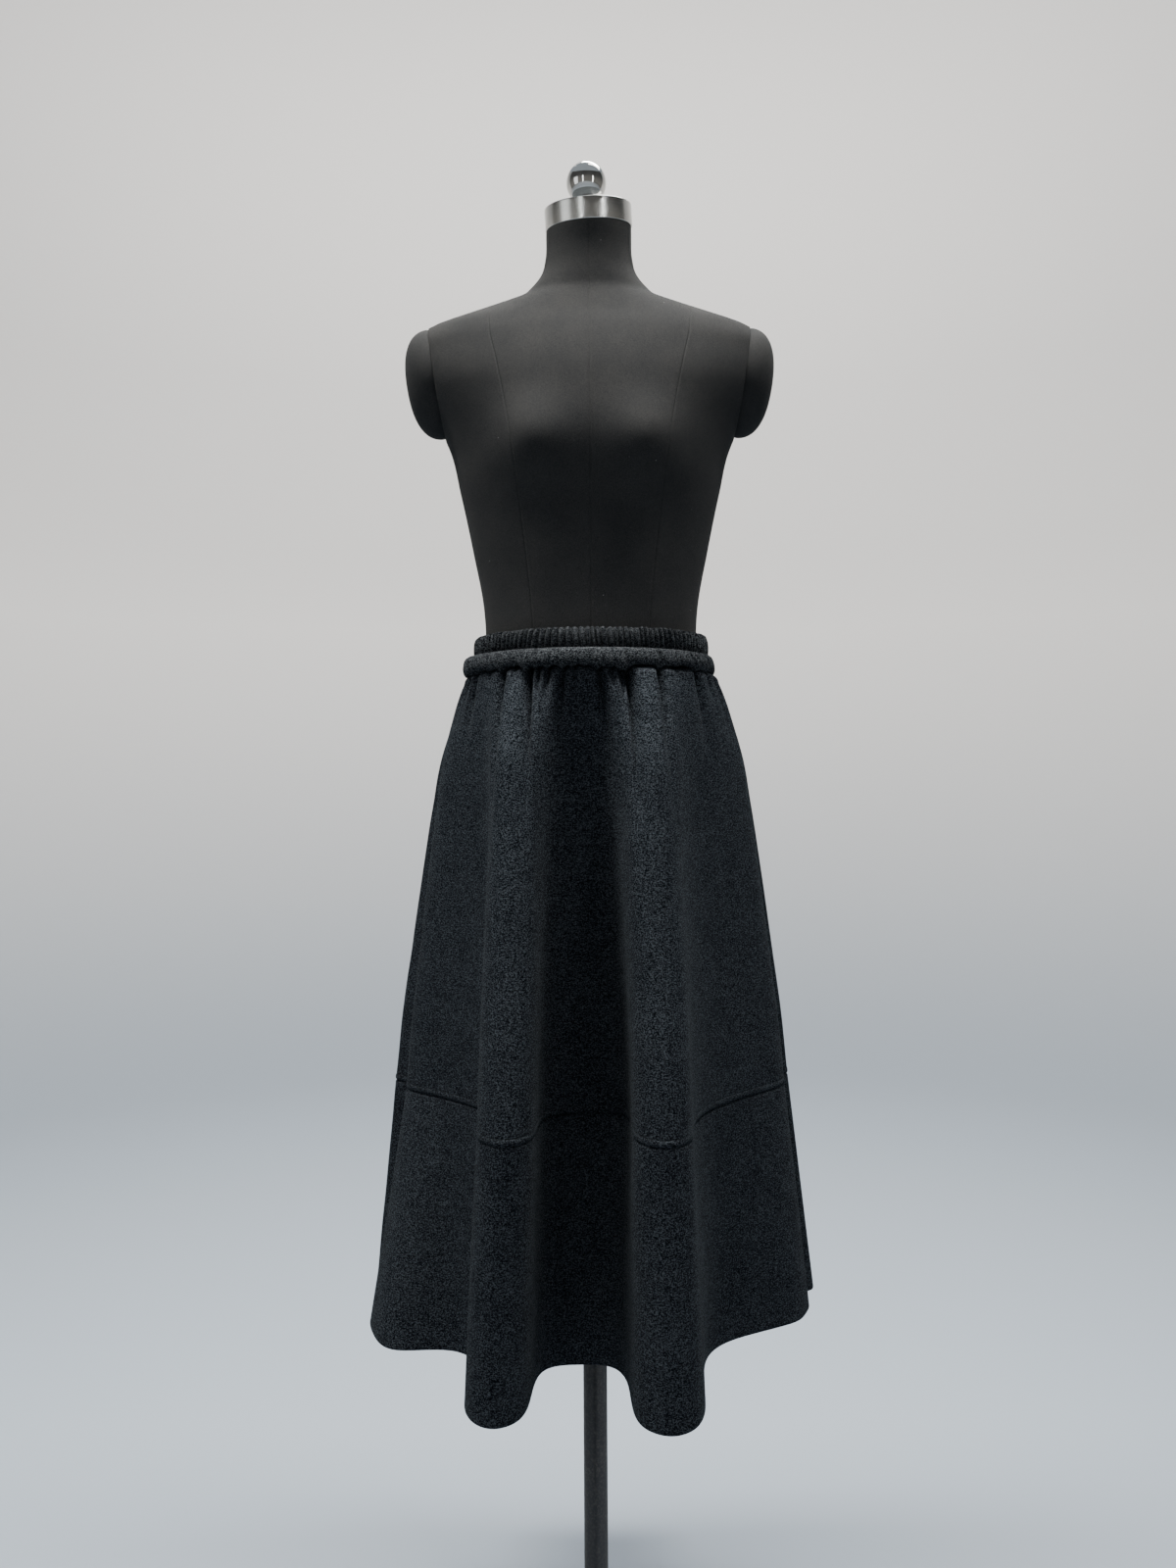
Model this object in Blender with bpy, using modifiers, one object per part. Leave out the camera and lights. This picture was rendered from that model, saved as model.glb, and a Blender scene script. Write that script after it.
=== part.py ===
"""A gathered, flared midi skirt of brushed wool knit with an elastic waistband and a deep hem tier,
worn by a limbless dress form on its pole and round base. Metres, +Z up, the front toward -Y."""

import math

import bmesh
import bpy
import numpy as np
from mathutils import Vector

# Driving heights, measured from the floor
WAIST_TOP = 1.158
ROLL_TOP = 1.1377
SKIRT_TOP = 1.1197
TIER_SEAM = 0.664
HEM = 0.408
FORM_BOTTOM = 0.940
NECK_CAP_CENTRE = (-0.0003, -0.005, 1.6175)

# Cloth
SEAM_GAP = 0.0003
CLOTH_WALL = 0.002
ROLL_WALL = 0.0025

# The oval that the gathered top edge of the skirt follows, under the waistband
WAIST_HALF_WIDTH = 0.1285
WAIST_FRONT = 0.1105
WAIST_BACK = 0.1070
WAIST_START = math.radians(-6.0)

# Folds of the skirt in plan, going round from the front centre to the photograph's right. A deep fold has
# a reach, from its tip back to its root, and splays that say how far apart its roots stand, in half widths.
# The hollow is the deepest place between this fold and the next.
FOLD_COLUMNS = ("name", "tip_x", "tip_y", "turn", "half_width", "reach", "splay_before", "splay_after",
                "hollow_x", "hollow_y")
FOLDS_AT_HEM = (
    ("right_flute", 0.068, -0.227, -91, 0.0360, 0.125, 1.42, 1.12, 0.140, -0.047),
    ("right_front_side", 0.236, 0.020, -25, 0.0280, 0, 0, 0, 0.229, 0.067),
    ("right_back_side", 0.252, 0.104, 22, 0.0200, 0, 0, 0, 0.200, 0.132),
    ("back_right", 0.140, 0.209, 62, 0.0310, 0.075, 1.10, 1.15, 0.070, 0.126),
    ("back_middle", 0.012, 0.222, 94, 0.0360, 0.085, 1.15, 1.20, -0.062, 0.126),
    ("back_left", -0.134, 0.214, 115, 0.0330, 0.072, 1.20, 1.10, -0.196, 0.134),
    ("left_back_side", -0.252, 0.104, 160, 0.0210, 0, 0, 0, -0.238, 0.062),
    ("left_front_side", -0.240, -0.022, 203, 0.0450, 0, 0, 0, -0.150, -0.062),
    ("left_flute", -0.095, -0.213, 269, 0.0315, 0.110, 0.80, 1.38, -0.018, -0.0935),
)
FOLDS_AT_TIER_SEAM = (
    ("right_flute", 0.066, -0.210, -90, 0.0300, 0.115, 1.30, 1.60, 0.147, -0.050),
    ("right_front_side", 0.211, 0.012, -28, 0.0280, 0, 0, 0, 0.206, 0.062),
    ("right_back_side", 0.221, 0.088, 22, 0.0170, 0, 0, 0, 0.180, 0.116),
    ("back_right", 0.124, 0.190, 60, 0.0270, 0.060, 1.10, 1.15, 0.062, 0.121),
    ("back_middle", 0.012, 0.203, 92, 0.0310, 0.070, 1.15, 1.20, -0.054, 0.121),
    ("back_left", -0.117, 0.194, 113, 0.0290, 0.058, 1.20, 1.10, -0.174, 0.118),
    ("left_back_side", -0.222, 0.070, 160, 0.0190, 0, 0, 0, -0.206, 0.036),
    ("left_front_side", -0.206, 0.002, 215, 0.0200, 0, 0, 0, -0.150, -0.041),
    ("left_flute", -0.084, -0.204, 270, 0.0285, 0.100, 0.75, 1.38, -0.010, -0.090),
)
RIGHT_SEAM_AFTER = "right_front_side"
LEFT_SEAM_AFTER = "left_back_side"

# Knots between a fold's roots: (aside in half widths, back in half widths, back in reaches)
DEEP_FOLD = ((-1, 0.20, 0.45), (-0.72, 0.45, 0), (0, 0, 0), (0.72, 0.45, 0), (1, 0.20, 0.45))
SHALLOW_FOLD = ((-1, 0.25, 0), (0, 0, 0), (1, 0.25, 0))
LINE_STEPS = 24

# Levels of the upper skirt: (height, how far it has opened from the waist oval (0) to the folds at the tier
# seam (1), how far the gathered cloth puffs out all round)
UPPER_LEVELS = (
    (SKIRT_TOP, 0.0, 0.0),
    (1.1165, 0.045, 0.0050),
    (1.107, 0.088, 0.0070),
    (1.090, 0.163, 0.0070),
    (1.066, 0.254, 0.0060),
    (1.032, 0.380, 0.0045),
    (0.980, 0.504, 0.0025),
    (0.900, 0.655, 0.0010),
    (0.815, 0.798, 0.0),
    (0.735, 0.921, 0.0),
    (TIER_SEAM + SEAM_GAP / 2, 1.0, 0.0),
)
LOWER_ROWS = 3

# Gathers: the valleys in the cloth under the waistband, by their angle round the waist from the front
GATHER_COLUMNS = ("angle", "depth", "half_width", "length")
FRONT_GATHERS = (
    (-64.8, 0.0025, 0.0050, 0.060),
    (-40.5, 0.0035, 0.0045, 0.070),
    (-30.1, 0.0050, 0.0050, 0.160),
    (-23.9, 0.0040, 0.0040, 0.060),
    (-19.0, 0.0035, 0.0040, 0.050),
    (-11.9, 0.0040, 0.0040, 0.060),
    (-6.9, 0.0025, 0.0035, 0.040),
    (4.0, 0.0035, 0.0045, 0.055),
    (7.6, 0.0030, 0.0040, 0.050),
    (14.2, 0.0060, 0.0060, 0.170),
    (30.4, 0.0030, 0.0050, 0.070),
    (53.8, 0.0030, 0.0050, 0.060),
)
SEAM_GATHER = (0.0035, 0.0050, 0.100)
SEAM_GATHER_CLEAR = 5.5
BACK_GATHER_STEPS = (14.0, 11.0, 12.5, 8.0, 10.5, 7.5, 12.0, 9.0)
BACK_GATHER_DEPTHS = (0.0030, 0.0040, 0.0025, 0.0045, 0.0035)
BACK_GATHER_HALF_WIDTH = 0.0045
BACK_GATHER_LENGTHS = (0.060, 0.110, 0.050, 0.080)
GATHER_FADE = 1.5
GATHER_SPREAD = 1.2

# Mesh columns of the skirt: their spacing in degrees, and the last one before a side seam
COLUMN_STEP = 2.75
EDGE_COLUMN = math.radians(0.5)
EDGE_CLEAR = math.radians(1.3)

# Waistband: an elastic casing with shirred ribs over a plain inside, and a puffed roll below it
CASING_RIBS = 92
CASING_CREST = 0.0102
RIB_VALLEY_SHARE = 0.72
CASING_LEVELS = ((1.0, 0.78), (0.6, 1.0), (0.0, 0.86))
ROLL_COLUMNS = 56
ROLL_LEVELS = ((1.0, 0.0085), (0.80, 0.0175), (0.50, 0.0212), (0.22, 0.0180), (0.0, 0.0122))

# Dress form: its horizontal sections, from the neck down. shift moves a section's centre back.
FORM_COLUMNS = ("height", "half_width", "front", "back", "shift")
FORM_SECTIONS = (
    (1.650, 0.0465, 0.0470, 0.0470, -0.006),
    (1.600, 0.0465, 0.0470, 0.0470, -0.003),
    (1.575, 0.0475, 0.0480, 0.0480, 0.001),
    (1.554, 0.0540, 0.0510, 0.0520, 0.004),
    (1.540, 0.0660, 0.0540, 0.0560, 0.006),
    (1.5295, 0.0800, 0.0560, 0.0600, 0.007),
    (1.519, 0.1120, 0.0600, 0.0660, 0.007),
    (1.5085, 0.1450, 0.0640, 0.0720, 0.006),
    (1.497, 0.1780, 0.0690, 0.0790, 0.005),
    (1.484, 0.1910, 0.0760, 0.0860, 0.004),
    (1.460, 0.1930, 0.0860, 0.0940, 0.002),
    (1.430, 0.1870, 0.0950, 0.0990, 0.000),
    (1.402, 0.1720, 0.1010, 0.1010, 0.000),
    (1.385, 0.1620, 0.1035, 0.1010, 0.000),
    (1.365, 0.1530, 0.1050, 0.1000, 0.000),
    (1.317, 0.1414, 0.1030, 0.0960, 0.000),
    (1.253, 0.1280, 0.0985, 0.0915, 0.000),
    (1.188, 0.1165, 0.0965, 0.0900, 0.000),
    (1.160, 0.1150, 0.0970, 0.0905, 0.000),
    (1.138, 0.1162, 0.0975, 0.0930, 0.000),
    (1.100, 0.1240, 0.0970, 0.0990, 0.000),
    (1.040, 0.1350, 0.0930, 0.1040, 0.000),
    (0.985, 0.1370, 0.0890, 0.1050, 0.000),
    (0.952, 0.1330, 0.0840, 0.1000, 0.000),
    (FORM_BOTTOM, 0.1240, 0.0770, 0.0910, 0.000),
)
FORM_COLUMNS_ROUND = 36
BUST_X = 0.064
BUST_HEIGHT = 1.346
BUST_RISE = 0.019
BUST_SPREAD_X = 0.043
BUST_SPREAD_Z = 0.046

# Arm caps: padded domes on the form's armhole planes
ARMHOLE_TOP = (0.1745, 1.498)
ARMHOLE_BOTTOM = (0.1580, 1.381)
ARMHOLE_BACK_SHIFT = 0.002
ARM_CAP_DEPTH = 0.0335
ARM_CAP_FULLNESS = 2.5
ARM_CAP_HALF_DEPTH = 0.0455
ARM_CAP_SEGMENTS = 24
ARM_CAP_RINGS = 14
ARMHOLE_CUTTER = 0.24
CUT_TOLERANCE = 1e-6
SHARP_ANGLE = math.radians(50)

# Neck cap and finial, which lean with the neck
NECK_FORWARD_TILT = math.radians(10.8)
NECK_SIDE_LEAN = math.radians(-3.3)
CAP_RADIUS = 0.0475
CAP_HEIGHT = 0.0226
CAP_BEVEL = 0.0012
BALL_RADIUS = 0.0217
BALL_TOP_RING = 78
BALL_STEPS = 11
STEM_RADIUS = 0.0075
STEM_HEIGHT = 0.0032
NECK_CUTTER = 0.16

# Stand
POLE_RADIUS = 0.013
BASE_RADIUS = 0.165
BASE_HEIGHT = 0.010
BASE_EDGE = 0.004
BASE_EDGE_STEPS = 4
TURNED_STEPS = 32
MERGE_DISTANCE = 0.0001


def clear_scene():
    for existing in list(bpy.data.objects):
        bpy.data.objects.remove(existing, do_unlink=True)


def new_collection(name):
    collection = bpy.data.collections.new(name)
    bpy.context.scene.collection.children.link(collection)
    return collection


def new_material(name, colour, roughness, metallic=0.0):
    material = bpy.data.materials.new(name)
    material.use_nodes = True
    shader = material.node_tree.nodes["Principled BSDF"]
    shader.inputs["Base Color"].default_value = (*colour, 1.0)
    shader.inputs["Roughness"].default_value = roughness
    shader.inputs["Metallic"].default_value = metallic
    return material


clear_scene()
PARTS = new_collection("flared_midi_skirt_on_dress_form")
CUTTERS = new_collection("cutters")
WOOL = new_material("charcoal_wool", (0.022, 0.025, 0.028), 0.95)
FORM_CLOTH = new_material("black_form_cloth", (0.013, 0.013, 0.015), 0.85)
BRUSHED_STEEL = new_material("brushed_steel", (0.62, 0.62, 0.60), 0.32, 1.0)
POLISHED_STEEL = new_material("polished_steel", (0.70, 0.70, 0.69), 0.08, 1.0)
BLACK_PAINT = new_material("black_satin_paint", (0.016, 0.018, 0.021), 0.42)


def smooth_between(heights, values, height):
    """Value at a height on the smooth line through a table's values; the heights run downward."""
    heights = np.array(heights)
    values = np.array(values)
    slopes = np.gradient(values, heights)
    row = int(np.clip(np.searchsorted(-heights, -height, side="right") - 1, 0, len(heights) - 2))
    span = heights[row + 1] - heights[row]
    t = (height - heights[row]) / span
    start, end = values[row], values[row + 1]
    return ((2 * t**3 - 3 * t**2 + 1) * start + (t**3 - 2 * t**2 + t) * slopes[row] * span
            + (3 * t**2 - 2 * t**3) * end + (t**3 - t**2) * slopes[row + 1] * span)


class ClosedCurve:
    """A smooth closed curve in plan through its knots; knot k is at parameter k."""

    def __init__(self, knots):
        self.knots = np.array(knots)
        count = len(self.knots)
        following = np.roll(self.knots, -1, axis=0)
        self.steps = np.sqrt(np.linalg.norm(following - self.knots, axis=1))
        matrix = np.zeros((count, count))
        sides = np.zeros((count, 2))
        for k in range(count):
            before, after = self.steps[k - 1], self.steps[k]
            matrix[k, k - 1] = 1 / before
            matrix[k, k] = 2 / before + 2 / after
            matrix[k, (k + 1) % count] = 1 / after
            sides[k] = 3 * ((self.knots[k] - self.knots[k - 1]) / before**2
                            + (following[k] - self.knots[k]) / after**2)
        self.slopes = np.linalg.solve(matrix, sides)

    def at(self, parameters):
        count = len(self.knots)
        parameters = np.asarray(parameters) % count
        k = np.minimum(parameters.astype(int), count - 1)
        t = (parameters - k)[:, None]
        step = self.steps[k][:, None]
        after = (k + 1) % count
        return ((2 * t**3 - 3 * t**2 + 1) * self.knots[k] + (t**3 - 2 * t**2 + t) * step * self.slopes[k]
                + (3 * t**2 - 2 * t**3) * self.knots[after] + (t**3 - t**2) * step * self.slopes[after])


def fold_knots(folds):
    """Plan knots of a fold table, and the knot number of the hollow after each fold."""
    knots = []
    hollows = {}
    for row in folds:
        fold = dict(zip(FOLD_COLUMNS, row))
        turn = math.radians(fold["turn"])
        outward = (math.cos(turn), math.sin(turn))
        across = (-outward[1], outward[0])
        half, reach = fold["half_width"], fold["reach"]
        steps = [(half * aside, half * back + reach * reaches)
                 for aside, back, reaches in (DEEP_FOLD if reach else SHALLOW_FOLD)]
        if reach:
            steps = [(-half * fold["splay_before"], reach), *steps, (half * fold["splay_after"], reach)]
        for aside, back in steps:
            knots.append((fold["tip_x"] + aside * across[0] - back * outward[0],
                          fold["tip_y"] + aside * across[1] - back * outward[1]))
        hollows[fold["name"]] = len(knots)
        knots.append((fold["hollow_x"], fold["hollow_y"]))
    return knots, hollows


HEM_KNOTS, HOLLOWS = fold_knots(FOLDS_AT_HEM)
HEM_CURVE = ClosedCurve(HEM_KNOTS)
TIER_CURVE = ClosedCurve(fold_knots(FOLDS_AT_TIER_SEAM)[0])


def lengthwise_lines():
    """Parameters round the hem, and the waist angle that each runs up to: an equal share of both."""
    parameters = np.linspace(0, len(HEM_KNOTS), LINE_STEPS * len(HEM_KNOTS) + 1)
    points = HEM_CURVE.at(parameters)
    run = np.concatenate([[0], np.cumsum(np.linalg.norm(np.diff(points, axis=0), axis=1))])
    shares = run / run[-1]
    front_centre = np.interp(len(HEM_KNOTS) - 1, parameters, shares) - 1
    return parameters, WAIST_START + (shares - front_centre) * math.tau


LINE_PARAMETERS, LINE_ANGLES = lengthwise_lines()


def parameter_at(angles):
    """Parameter round the hem under each waist angle."""
    turns = (np.asarray(angles) - LINE_ANGLES[0]) % math.tau + LINE_ANGLES[0]
    return np.interp(turns, LINE_ANGLES, LINE_PARAMETERS)


def angle_of_hollow(fold):
    """Waist angle of the lengthwise line that ends in the hollow after a fold."""
    return float(np.interp(HOLLOWS[fold], LINE_PARAMETERS, LINE_ANGLES))


def oval(angles, half_width, front, back):
    """Points of an oval in plan; angle 0 is the front and 90 degrees the photograph's right."""
    sine, cosine = np.sin(angles), np.cos(angles)
    return np.stack([half_width * sine, np.where(cosine > 0, -front * cosine, -back * cosine)], axis=1)


def all_gathers():
    """The front gathers of the table, one at each side seam, and uneven ones that fill the sides and the back."""
    gathers = [dict(zip(GATHER_COLUMNS, row)) for row in FRONT_GATHERS]
    seams = [math.degrees(angle_of_hollow(fold)) % 360 for fold in (RIGHT_SEAM_AFTER, LEFT_SEAM_AFTER)]
    gathers += [dict(zip(GATHER_COLUMNS, (seam, *SEAM_GATHER))) for seam in seams]
    angle = FRONT_GATHERS[-1][0] + BACK_GATHER_STEPS[0]
    number = 0
    while angle < FRONT_GATHERS[0][0] + 360 - BACK_GATHER_STEPS[0] / 2:
        if min(abs(angle - seam) for seam in seams) > SEAM_GATHER_CLEAR:
            depth = BACK_GATHER_DEPTHS[number % len(BACK_GATHER_DEPTHS)]
            length = BACK_GATHER_LENGTHS[number % len(BACK_GATHER_LENGTHS)]
            gathers.append(dict(zip(GATHER_COLUMNS, (angle, depth, BACK_GATHER_HALF_WIDTH, length))))
        number += 1
        angle += BACK_GATHER_STEPS[number % len(BACK_GATHER_STEPS)]
    return sorted(gathers, key=lambda gather: gather["angle"])


GATHERS = all_gathers()


def column_angles():
    """Waist angles of the mesh columns, so that a column lies in each gather's valley."""
    valleys = [math.radians(gather["angle"]) for gather in GATHERS]
    angles = []
    for start, end in zip(valleys, valleys[1:] + [valleys[0] + math.tau]):
        steps = max(2, round(math.degrees(end - start) / COLUMN_STEP))
        angles.extend(start + (end - start) * k / steps for k in range(steps))
    return np.array(angles)


def gather_depth(angles, height):
    """How far the gathers draw the cloth in at a height, for each waist angle."""
    depth = np.zeros(len(angles))
    drop = SKIRT_TOP - height
    for gather in GATHERS:
        away = (angles - math.radians(gather["angle"]) + math.pi) % math.tau - math.pi
        fade = math.exp(-(GATHER_FADE * drop / gather["length"]) ** 2)
        half_width = gather["half_width"] * (1 + GATHER_SPREAD * drop / gather["length"])
        depth += gather["depth"] * fade * np.exp(-(away * WAIST_HALF_WIDTH / half_width) ** 2)
    return depth


def skirt_columns():
    """Waist angles of all the mesh columns, from the left side seam round the front, and the right seam's."""
    left, right = angle_of_hollow(LEFT_SEAM_AFTER), angle_of_hollow(RIGHT_SEAM_AFTER)
    right = (right - left) % math.tau + left
    inner = (column_angles() - left) % math.tau + left
    for seam in (left, right, left + math.tau):
        inner = inner[np.abs(inner - seam) > EDGE_CLEAR]
    edges = [left, left + EDGE_COLUMN, right - EDGE_COLUMN, right, right + EDGE_COLUMN,
             left + math.tau - EDGE_COLUMN]
    angles = np.sort(np.concatenate([inner, edges]))
    return angles, int(np.argmin(np.abs(angles - right)))


def outward_in_plan(points):
    """Outward direction at each point of a closed run that goes round the front to the right."""
    tangents = np.roll(points, -1, axis=0) - np.roll(points, 1, axis=0)
    tangents /= np.linalg.norm(tangents, axis=1)[:, None]
    return np.stack([tangents[:, 1], -tangents[:, 0]], axis=1)


ANGLES, RIGHT_SEAM = skirt_columns()
HEM_POINTS = HEM_CURVE.at(parameter_at(ANGLES))
TIER_POINTS = TIER_CURVE.at(parameter_at(ANGLES))
WAIST_POINTS = oval(ANGLES, WAIST_HALF_WIDTH, WAIST_FRONT, WAIST_BACK)
WAIST_OUTWARD = outward_in_plan(WAIST_POINTS)


def skirt_section(height, opened, puffed):
    """Points of the skirt's outer face at a height above the tier seam, one for each column."""
    points = WAIST_POINTS + (TIER_POINTS - WAIST_POINTS) * opened
    return points + WAIST_OUTWARD * (puffed - gather_depth(ANGLES, height))[:, None]


def tier_section(share):
    """Points of the hem tier's outer face, from the tier seam (0) to the hem (1)."""
    return TIER_POINTS + (HEM_POINTS - TIER_POINTS) * share


def panel_of(section, side):
    """The front or the back run of a section's points, drawn in at the side seams."""
    if side == "front":
        points = section[:RIGHT_SEAM + 1].copy()
    else:
        points = np.concatenate([section[RIGHT_SEAM:], section[:1]])
    return draw_in_side_seams(points)


def draw_in_side_seams(points):
    """Move a panel's two edge columns half a seam gap into the panel."""
    for edge, neighbour in ((0, 1), (-1, -2)):
        toward = points[neighbour] - points[edge]
        points[edge] = points[edge] + toward / np.linalg.norm(toward) * (SEAM_GAP / 2)
    return points


def add_grid(name, rows, heights, closed):
    """Mesh object of an open surface through rows of plan points, top row first, facing outward."""
    mesh = bpy.data.meshes.new(name)
    grid = bmesh.new()
    lines = [[grid.verts.new((x, y, z)) for x, y in row] for row, z in zip(rows, heights)]
    count = len(lines[0])
    for upper, lower in zip(lines, lines[1:]):
        for k in range(count if closed else count - 1):
            after = (k + 1) % count
            grid.faces.new((upper[k], lower[k], lower[after], upper[after]))
    grid.to_mesh(mesh)
    grid.free()
    mesh.shade_smooth()
    piece = bpy.data.objects.new(name, mesh)
    PARTS.objects.link(piece)
    return piece


def give_wall(piece, wall, offset):
    solidify = piece.modifiers.new("cloth wall", "SOLIDIFY")
    solidify.thickness = wall
    solidify.offset = offset
    return solidify


def make_skirt_panels():
    """Front and back of the upper skirt and of the hem tier, parted at the side seams."""
    top = TIER_SEAM - SEAM_GAP / 2
    shares = np.linspace(0, 1, LOWER_ROWS + 1)
    upper_heights = [level[0] for level in UPPER_LEVELS]
    for side in ("front", "back"):
        rows = [panel_of(skirt_section(*level), side) for level in UPPER_LEVELS]
        upper = add_grid(f"{side}_panel", rows, upper_heights, closed=False)
        rows = [panel_of(tier_section(share), side) for share in shares]
        lower = add_grid(f"{side}_hem_panel", rows, top + (HEM - top) * shares, closed=False)
        for piece in (upper, lower):
            give_wall(piece, CLOTH_WALL, -1)
            piece.data.materials.append(WOOL)


def form_oval(angles, height, clearance=0.0):
    """Points of the dress form's section at a height, moved out by a clearance."""
    heights = [section[0] for section in FORM_SECTIONS]
    half_width, front, back, shift = (
        smooth_between(heights, [section[column] for section in FORM_SECTIONS], height)
        for column in range(1, len(FORM_COLUMNS)))
    points = oval(angles, half_width + clearance, front + clearance, back + clearance)
    points[:, 1] += shift
    return points


def make_casing():
    """Elastic casing: a plain inside on the form's waist, with the ribs in its thickness."""
    angles = np.linspace(0, math.tau, 2 * CASING_RIBS, endpoint=False)
    bottom = ROLL_TOP + SEAM_GAP
    heights = [bottom + (WAIST_TOP - bottom) * level for level, fullness in CASING_LEVELS]
    rows = [form_oval(angles, height, SEAM_GAP) for height in heights]
    casing = add_grid("waistband_casing", rows, heights, closed=True)
    ribs = casing.vertex_groups.new(name="rib height")
    for row, (level, fullness) in enumerate(CASING_LEVELS):
        for column in range(len(angles)):
            crest = fullness if column % 2 else fullness * RIB_VALLEY_SHARE
            ribs.add([row * len(angles) + column], crest, "REPLACE")
    wall = give_wall(casing, CASING_CREST, 1)
    wall.vertex_group = ribs.name
    casing.data.materials.append(WOOL)


def make_roll():
    """The waistband's puffed lower part, a bulged wall between the casing and the gathers."""
    angles = np.linspace(0, math.tau, ROLL_COLUMNS, endpoint=False)
    bottom = SKIRT_TOP + SEAM_GAP
    heights = [bottom + (ROLL_TOP - bottom) * level for level, proud in ROLL_LEVELS]
    waist = form_oval(angles, WAIST_TOP)
    out = waist / np.linalg.norm(waist, axis=1)[:, None]
    rows = [waist + out * proud for level, proud in ROLL_LEVELS]
    roll = add_grid("waistband_roll", rows, heights, closed=True)
    give_wall(roll, ROLL_WALL, -1)
    roll.data.materials.append(WOOL)


def bust_rise(points, height):
    """Forward rise of the bust at each point of a section's front."""
    rise = np.zeros(len(points))
    for side in (-1, 1):
        away = (points[:, 0] - side * BUST_X) / BUST_SPREAD_X
        up = (height - BUST_HEIGHT) / BUST_SPREAD_Z
        rise += BUST_RISE * np.exp(-away**2 - up**2)
    return np.where(points[:, 1] < 0, rise, 0)


def add_cutter(name, size, location, rotation, parent=None):
    """A hidden box whose local -X, or for the neck -Z, face is a cutting plane."""
    bpy.ops.mesh.primitive_cube_add(size=size, location=location, rotation=rotation)
    cutter = bpy.context.object
    cutter.name = name
    cutter.parent = parent
    cutter.hide_render = True
    cutter.display_type = "WIRE"
    for collection in list(cutter.users_collection):
        collection.objects.unlink(cutter)
    CUTTERS.objects.link(cutter)
    return cutter


def cut(piece, cutter):
    difference = piece.modifiers.new(cutter.name, "BOOLEAN")
    difference.operation = "DIFFERENCE"
    difference.object = cutter


def armhole_frame(side):
    """Centre of an armhole plane, and the plane's turn about Y, for side -1 or 1."""
    centre = Vector((side * (ARMHOLE_TOP[0] + ARMHOLE_BOTTOM[0]) / 2, ARMHOLE_BACK_SHIFT,
                     (ARMHOLE_TOP[1] + ARMHOLE_BOTTOM[1]) / 2))
    slope = math.atan2(ARMHOLE_TOP[0] - ARMHOLE_BOTTOM[0], ARMHOLE_TOP[1] - ARMHOLE_BOTTOM[1])
    return centre, (0.0, slope, 0.0) if side > 0 else (0.0, math.pi - slope, 0.0)


def along(rotation, distance):
    """Vector of a length along the local X of something turned about Y."""
    return Vector((math.cos(rotation[1]), 0.0, -math.sin(rotation[1]))) * distance


def make_form(neck):
    """Torso of the dress form, cut flat at the armholes and at the neck."""
    angles = np.linspace(0, math.tau, FORM_COLUMNS_ROUND, endpoint=False)
    heights = [section[0] for section in FORM_SECTIONS]
    rows = []
    for height in heights:
        points = form_oval(angles, height)
        points[:, 1] -= bust_rise(points, height)
        rows.append(points)
    torso = add_grid("torso", rows, heights, closed=True)
    ends = bmesh.new()
    ends.from_mesh(torso.data)
    open_edges = [edge for edge in ends.edges if edge.is_boundary]
    bmesh.ops.holes_fill(ends, edges=open_edges)
    bmesh.ops.recalc_face_normals(ends, faces=ends.faces)
    ends.to_mesh(torso.data)
    ends.free()
    torso.data.set_sharp_from_angle(angle=SHARP_ANGLE)
    torso.data.materials.append(FORM_CLOTH)
    for side, name in ((-1, "left_armhole_cutter"), (1, "right_armhole_cutter")):
        centre, rotation = armhole_frame(side)
        cutter = add_cutter(name, ARMHOLE_CUTTER, centre + along(rotation, ARMHOLE_CUTTER / 2), rotation)
        cut(torso, cutter)
    lift = NECK_CUTTER / 2 - CAP_HEIGHT / 2 - SEAM_GAP
    cut(torso, add_cutter("neck_cutter", NECK_CUTTER, (0, 0, lift), (0, 0, 0), neck))


def make_arm_cap(side, name):
    """A padded dome on the armhole plane, round like the end of a sleeve."""
    centre, rotation = armhole_frame(side)
    half_height = math.dist(ARMHOLE_TOP, ARMHOLE_BOTTOM) / 2
    dome = bmesh.new()
    bmesh.ops.create_uvsphere(dome, u_segments=ARM_CAP_SEGMENTS, v_segments=ARM_CAP_RINGS, radius=1.0)
    whole = dome.verts[:] + dome.edges[:] + dome.faces[:]
    bmesh.ops.bisect_plane(dome, geom=whole, plane_co=(0, 0, 0), plane_no=(1, 0, 0), clear_inner=True,
                           dist=CUT_TOLERANCE)
    for vertex in dome.verts:
        reach = min(1.0, math.hypot(vertex.co.y, vertex.co.z))
        vertex.co.x = (1 - reach**ARM_CAP_FULLNESS) ** (1 / ARM_CAP_FULLNESS)
    bmesh.ops.scale(dome, vec=(ARM_CAP_DEPTH, ARM_CAP_HALF_DEPTH, half_height), verts=dome.verts)
    bmesh.ops.holes_fill(dome, edges=[edge for edge in dome.edges if edge.is_boundary])
    bmesh.ops.recalc_face_normals(dome, faces=dome.faces)
    mesh = bpy.data.meshes.new(name)
    dome.to_mesh(mesh)
    dome.free()
    mesh.shade_smooth()
    mesh.set_sharp_from_angle(angle=SHARP_ANGLE)
    cap = bpy.data.objects.new(name, mesh)
    cap.location = centre + along(rotation, SEAM_GAP)
    cap.rotation_euler = rotation
    PARTS.objects.link(cap)
    mesh.materials.append(FORM_CLOTH)


def arc(centre_r, centre_z, radius, start, end, steps):
    """Profile points on an arc, by its angles in degrees up from the outward direction."""
    points = []
    for k in range(steps + 1):
        angle = math.radians(start + (end - start) * k / steps)
        points.append((centre_r + radius * math.cos(angle), centre_z + radius * math.sin(angle)))
    return points


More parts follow.
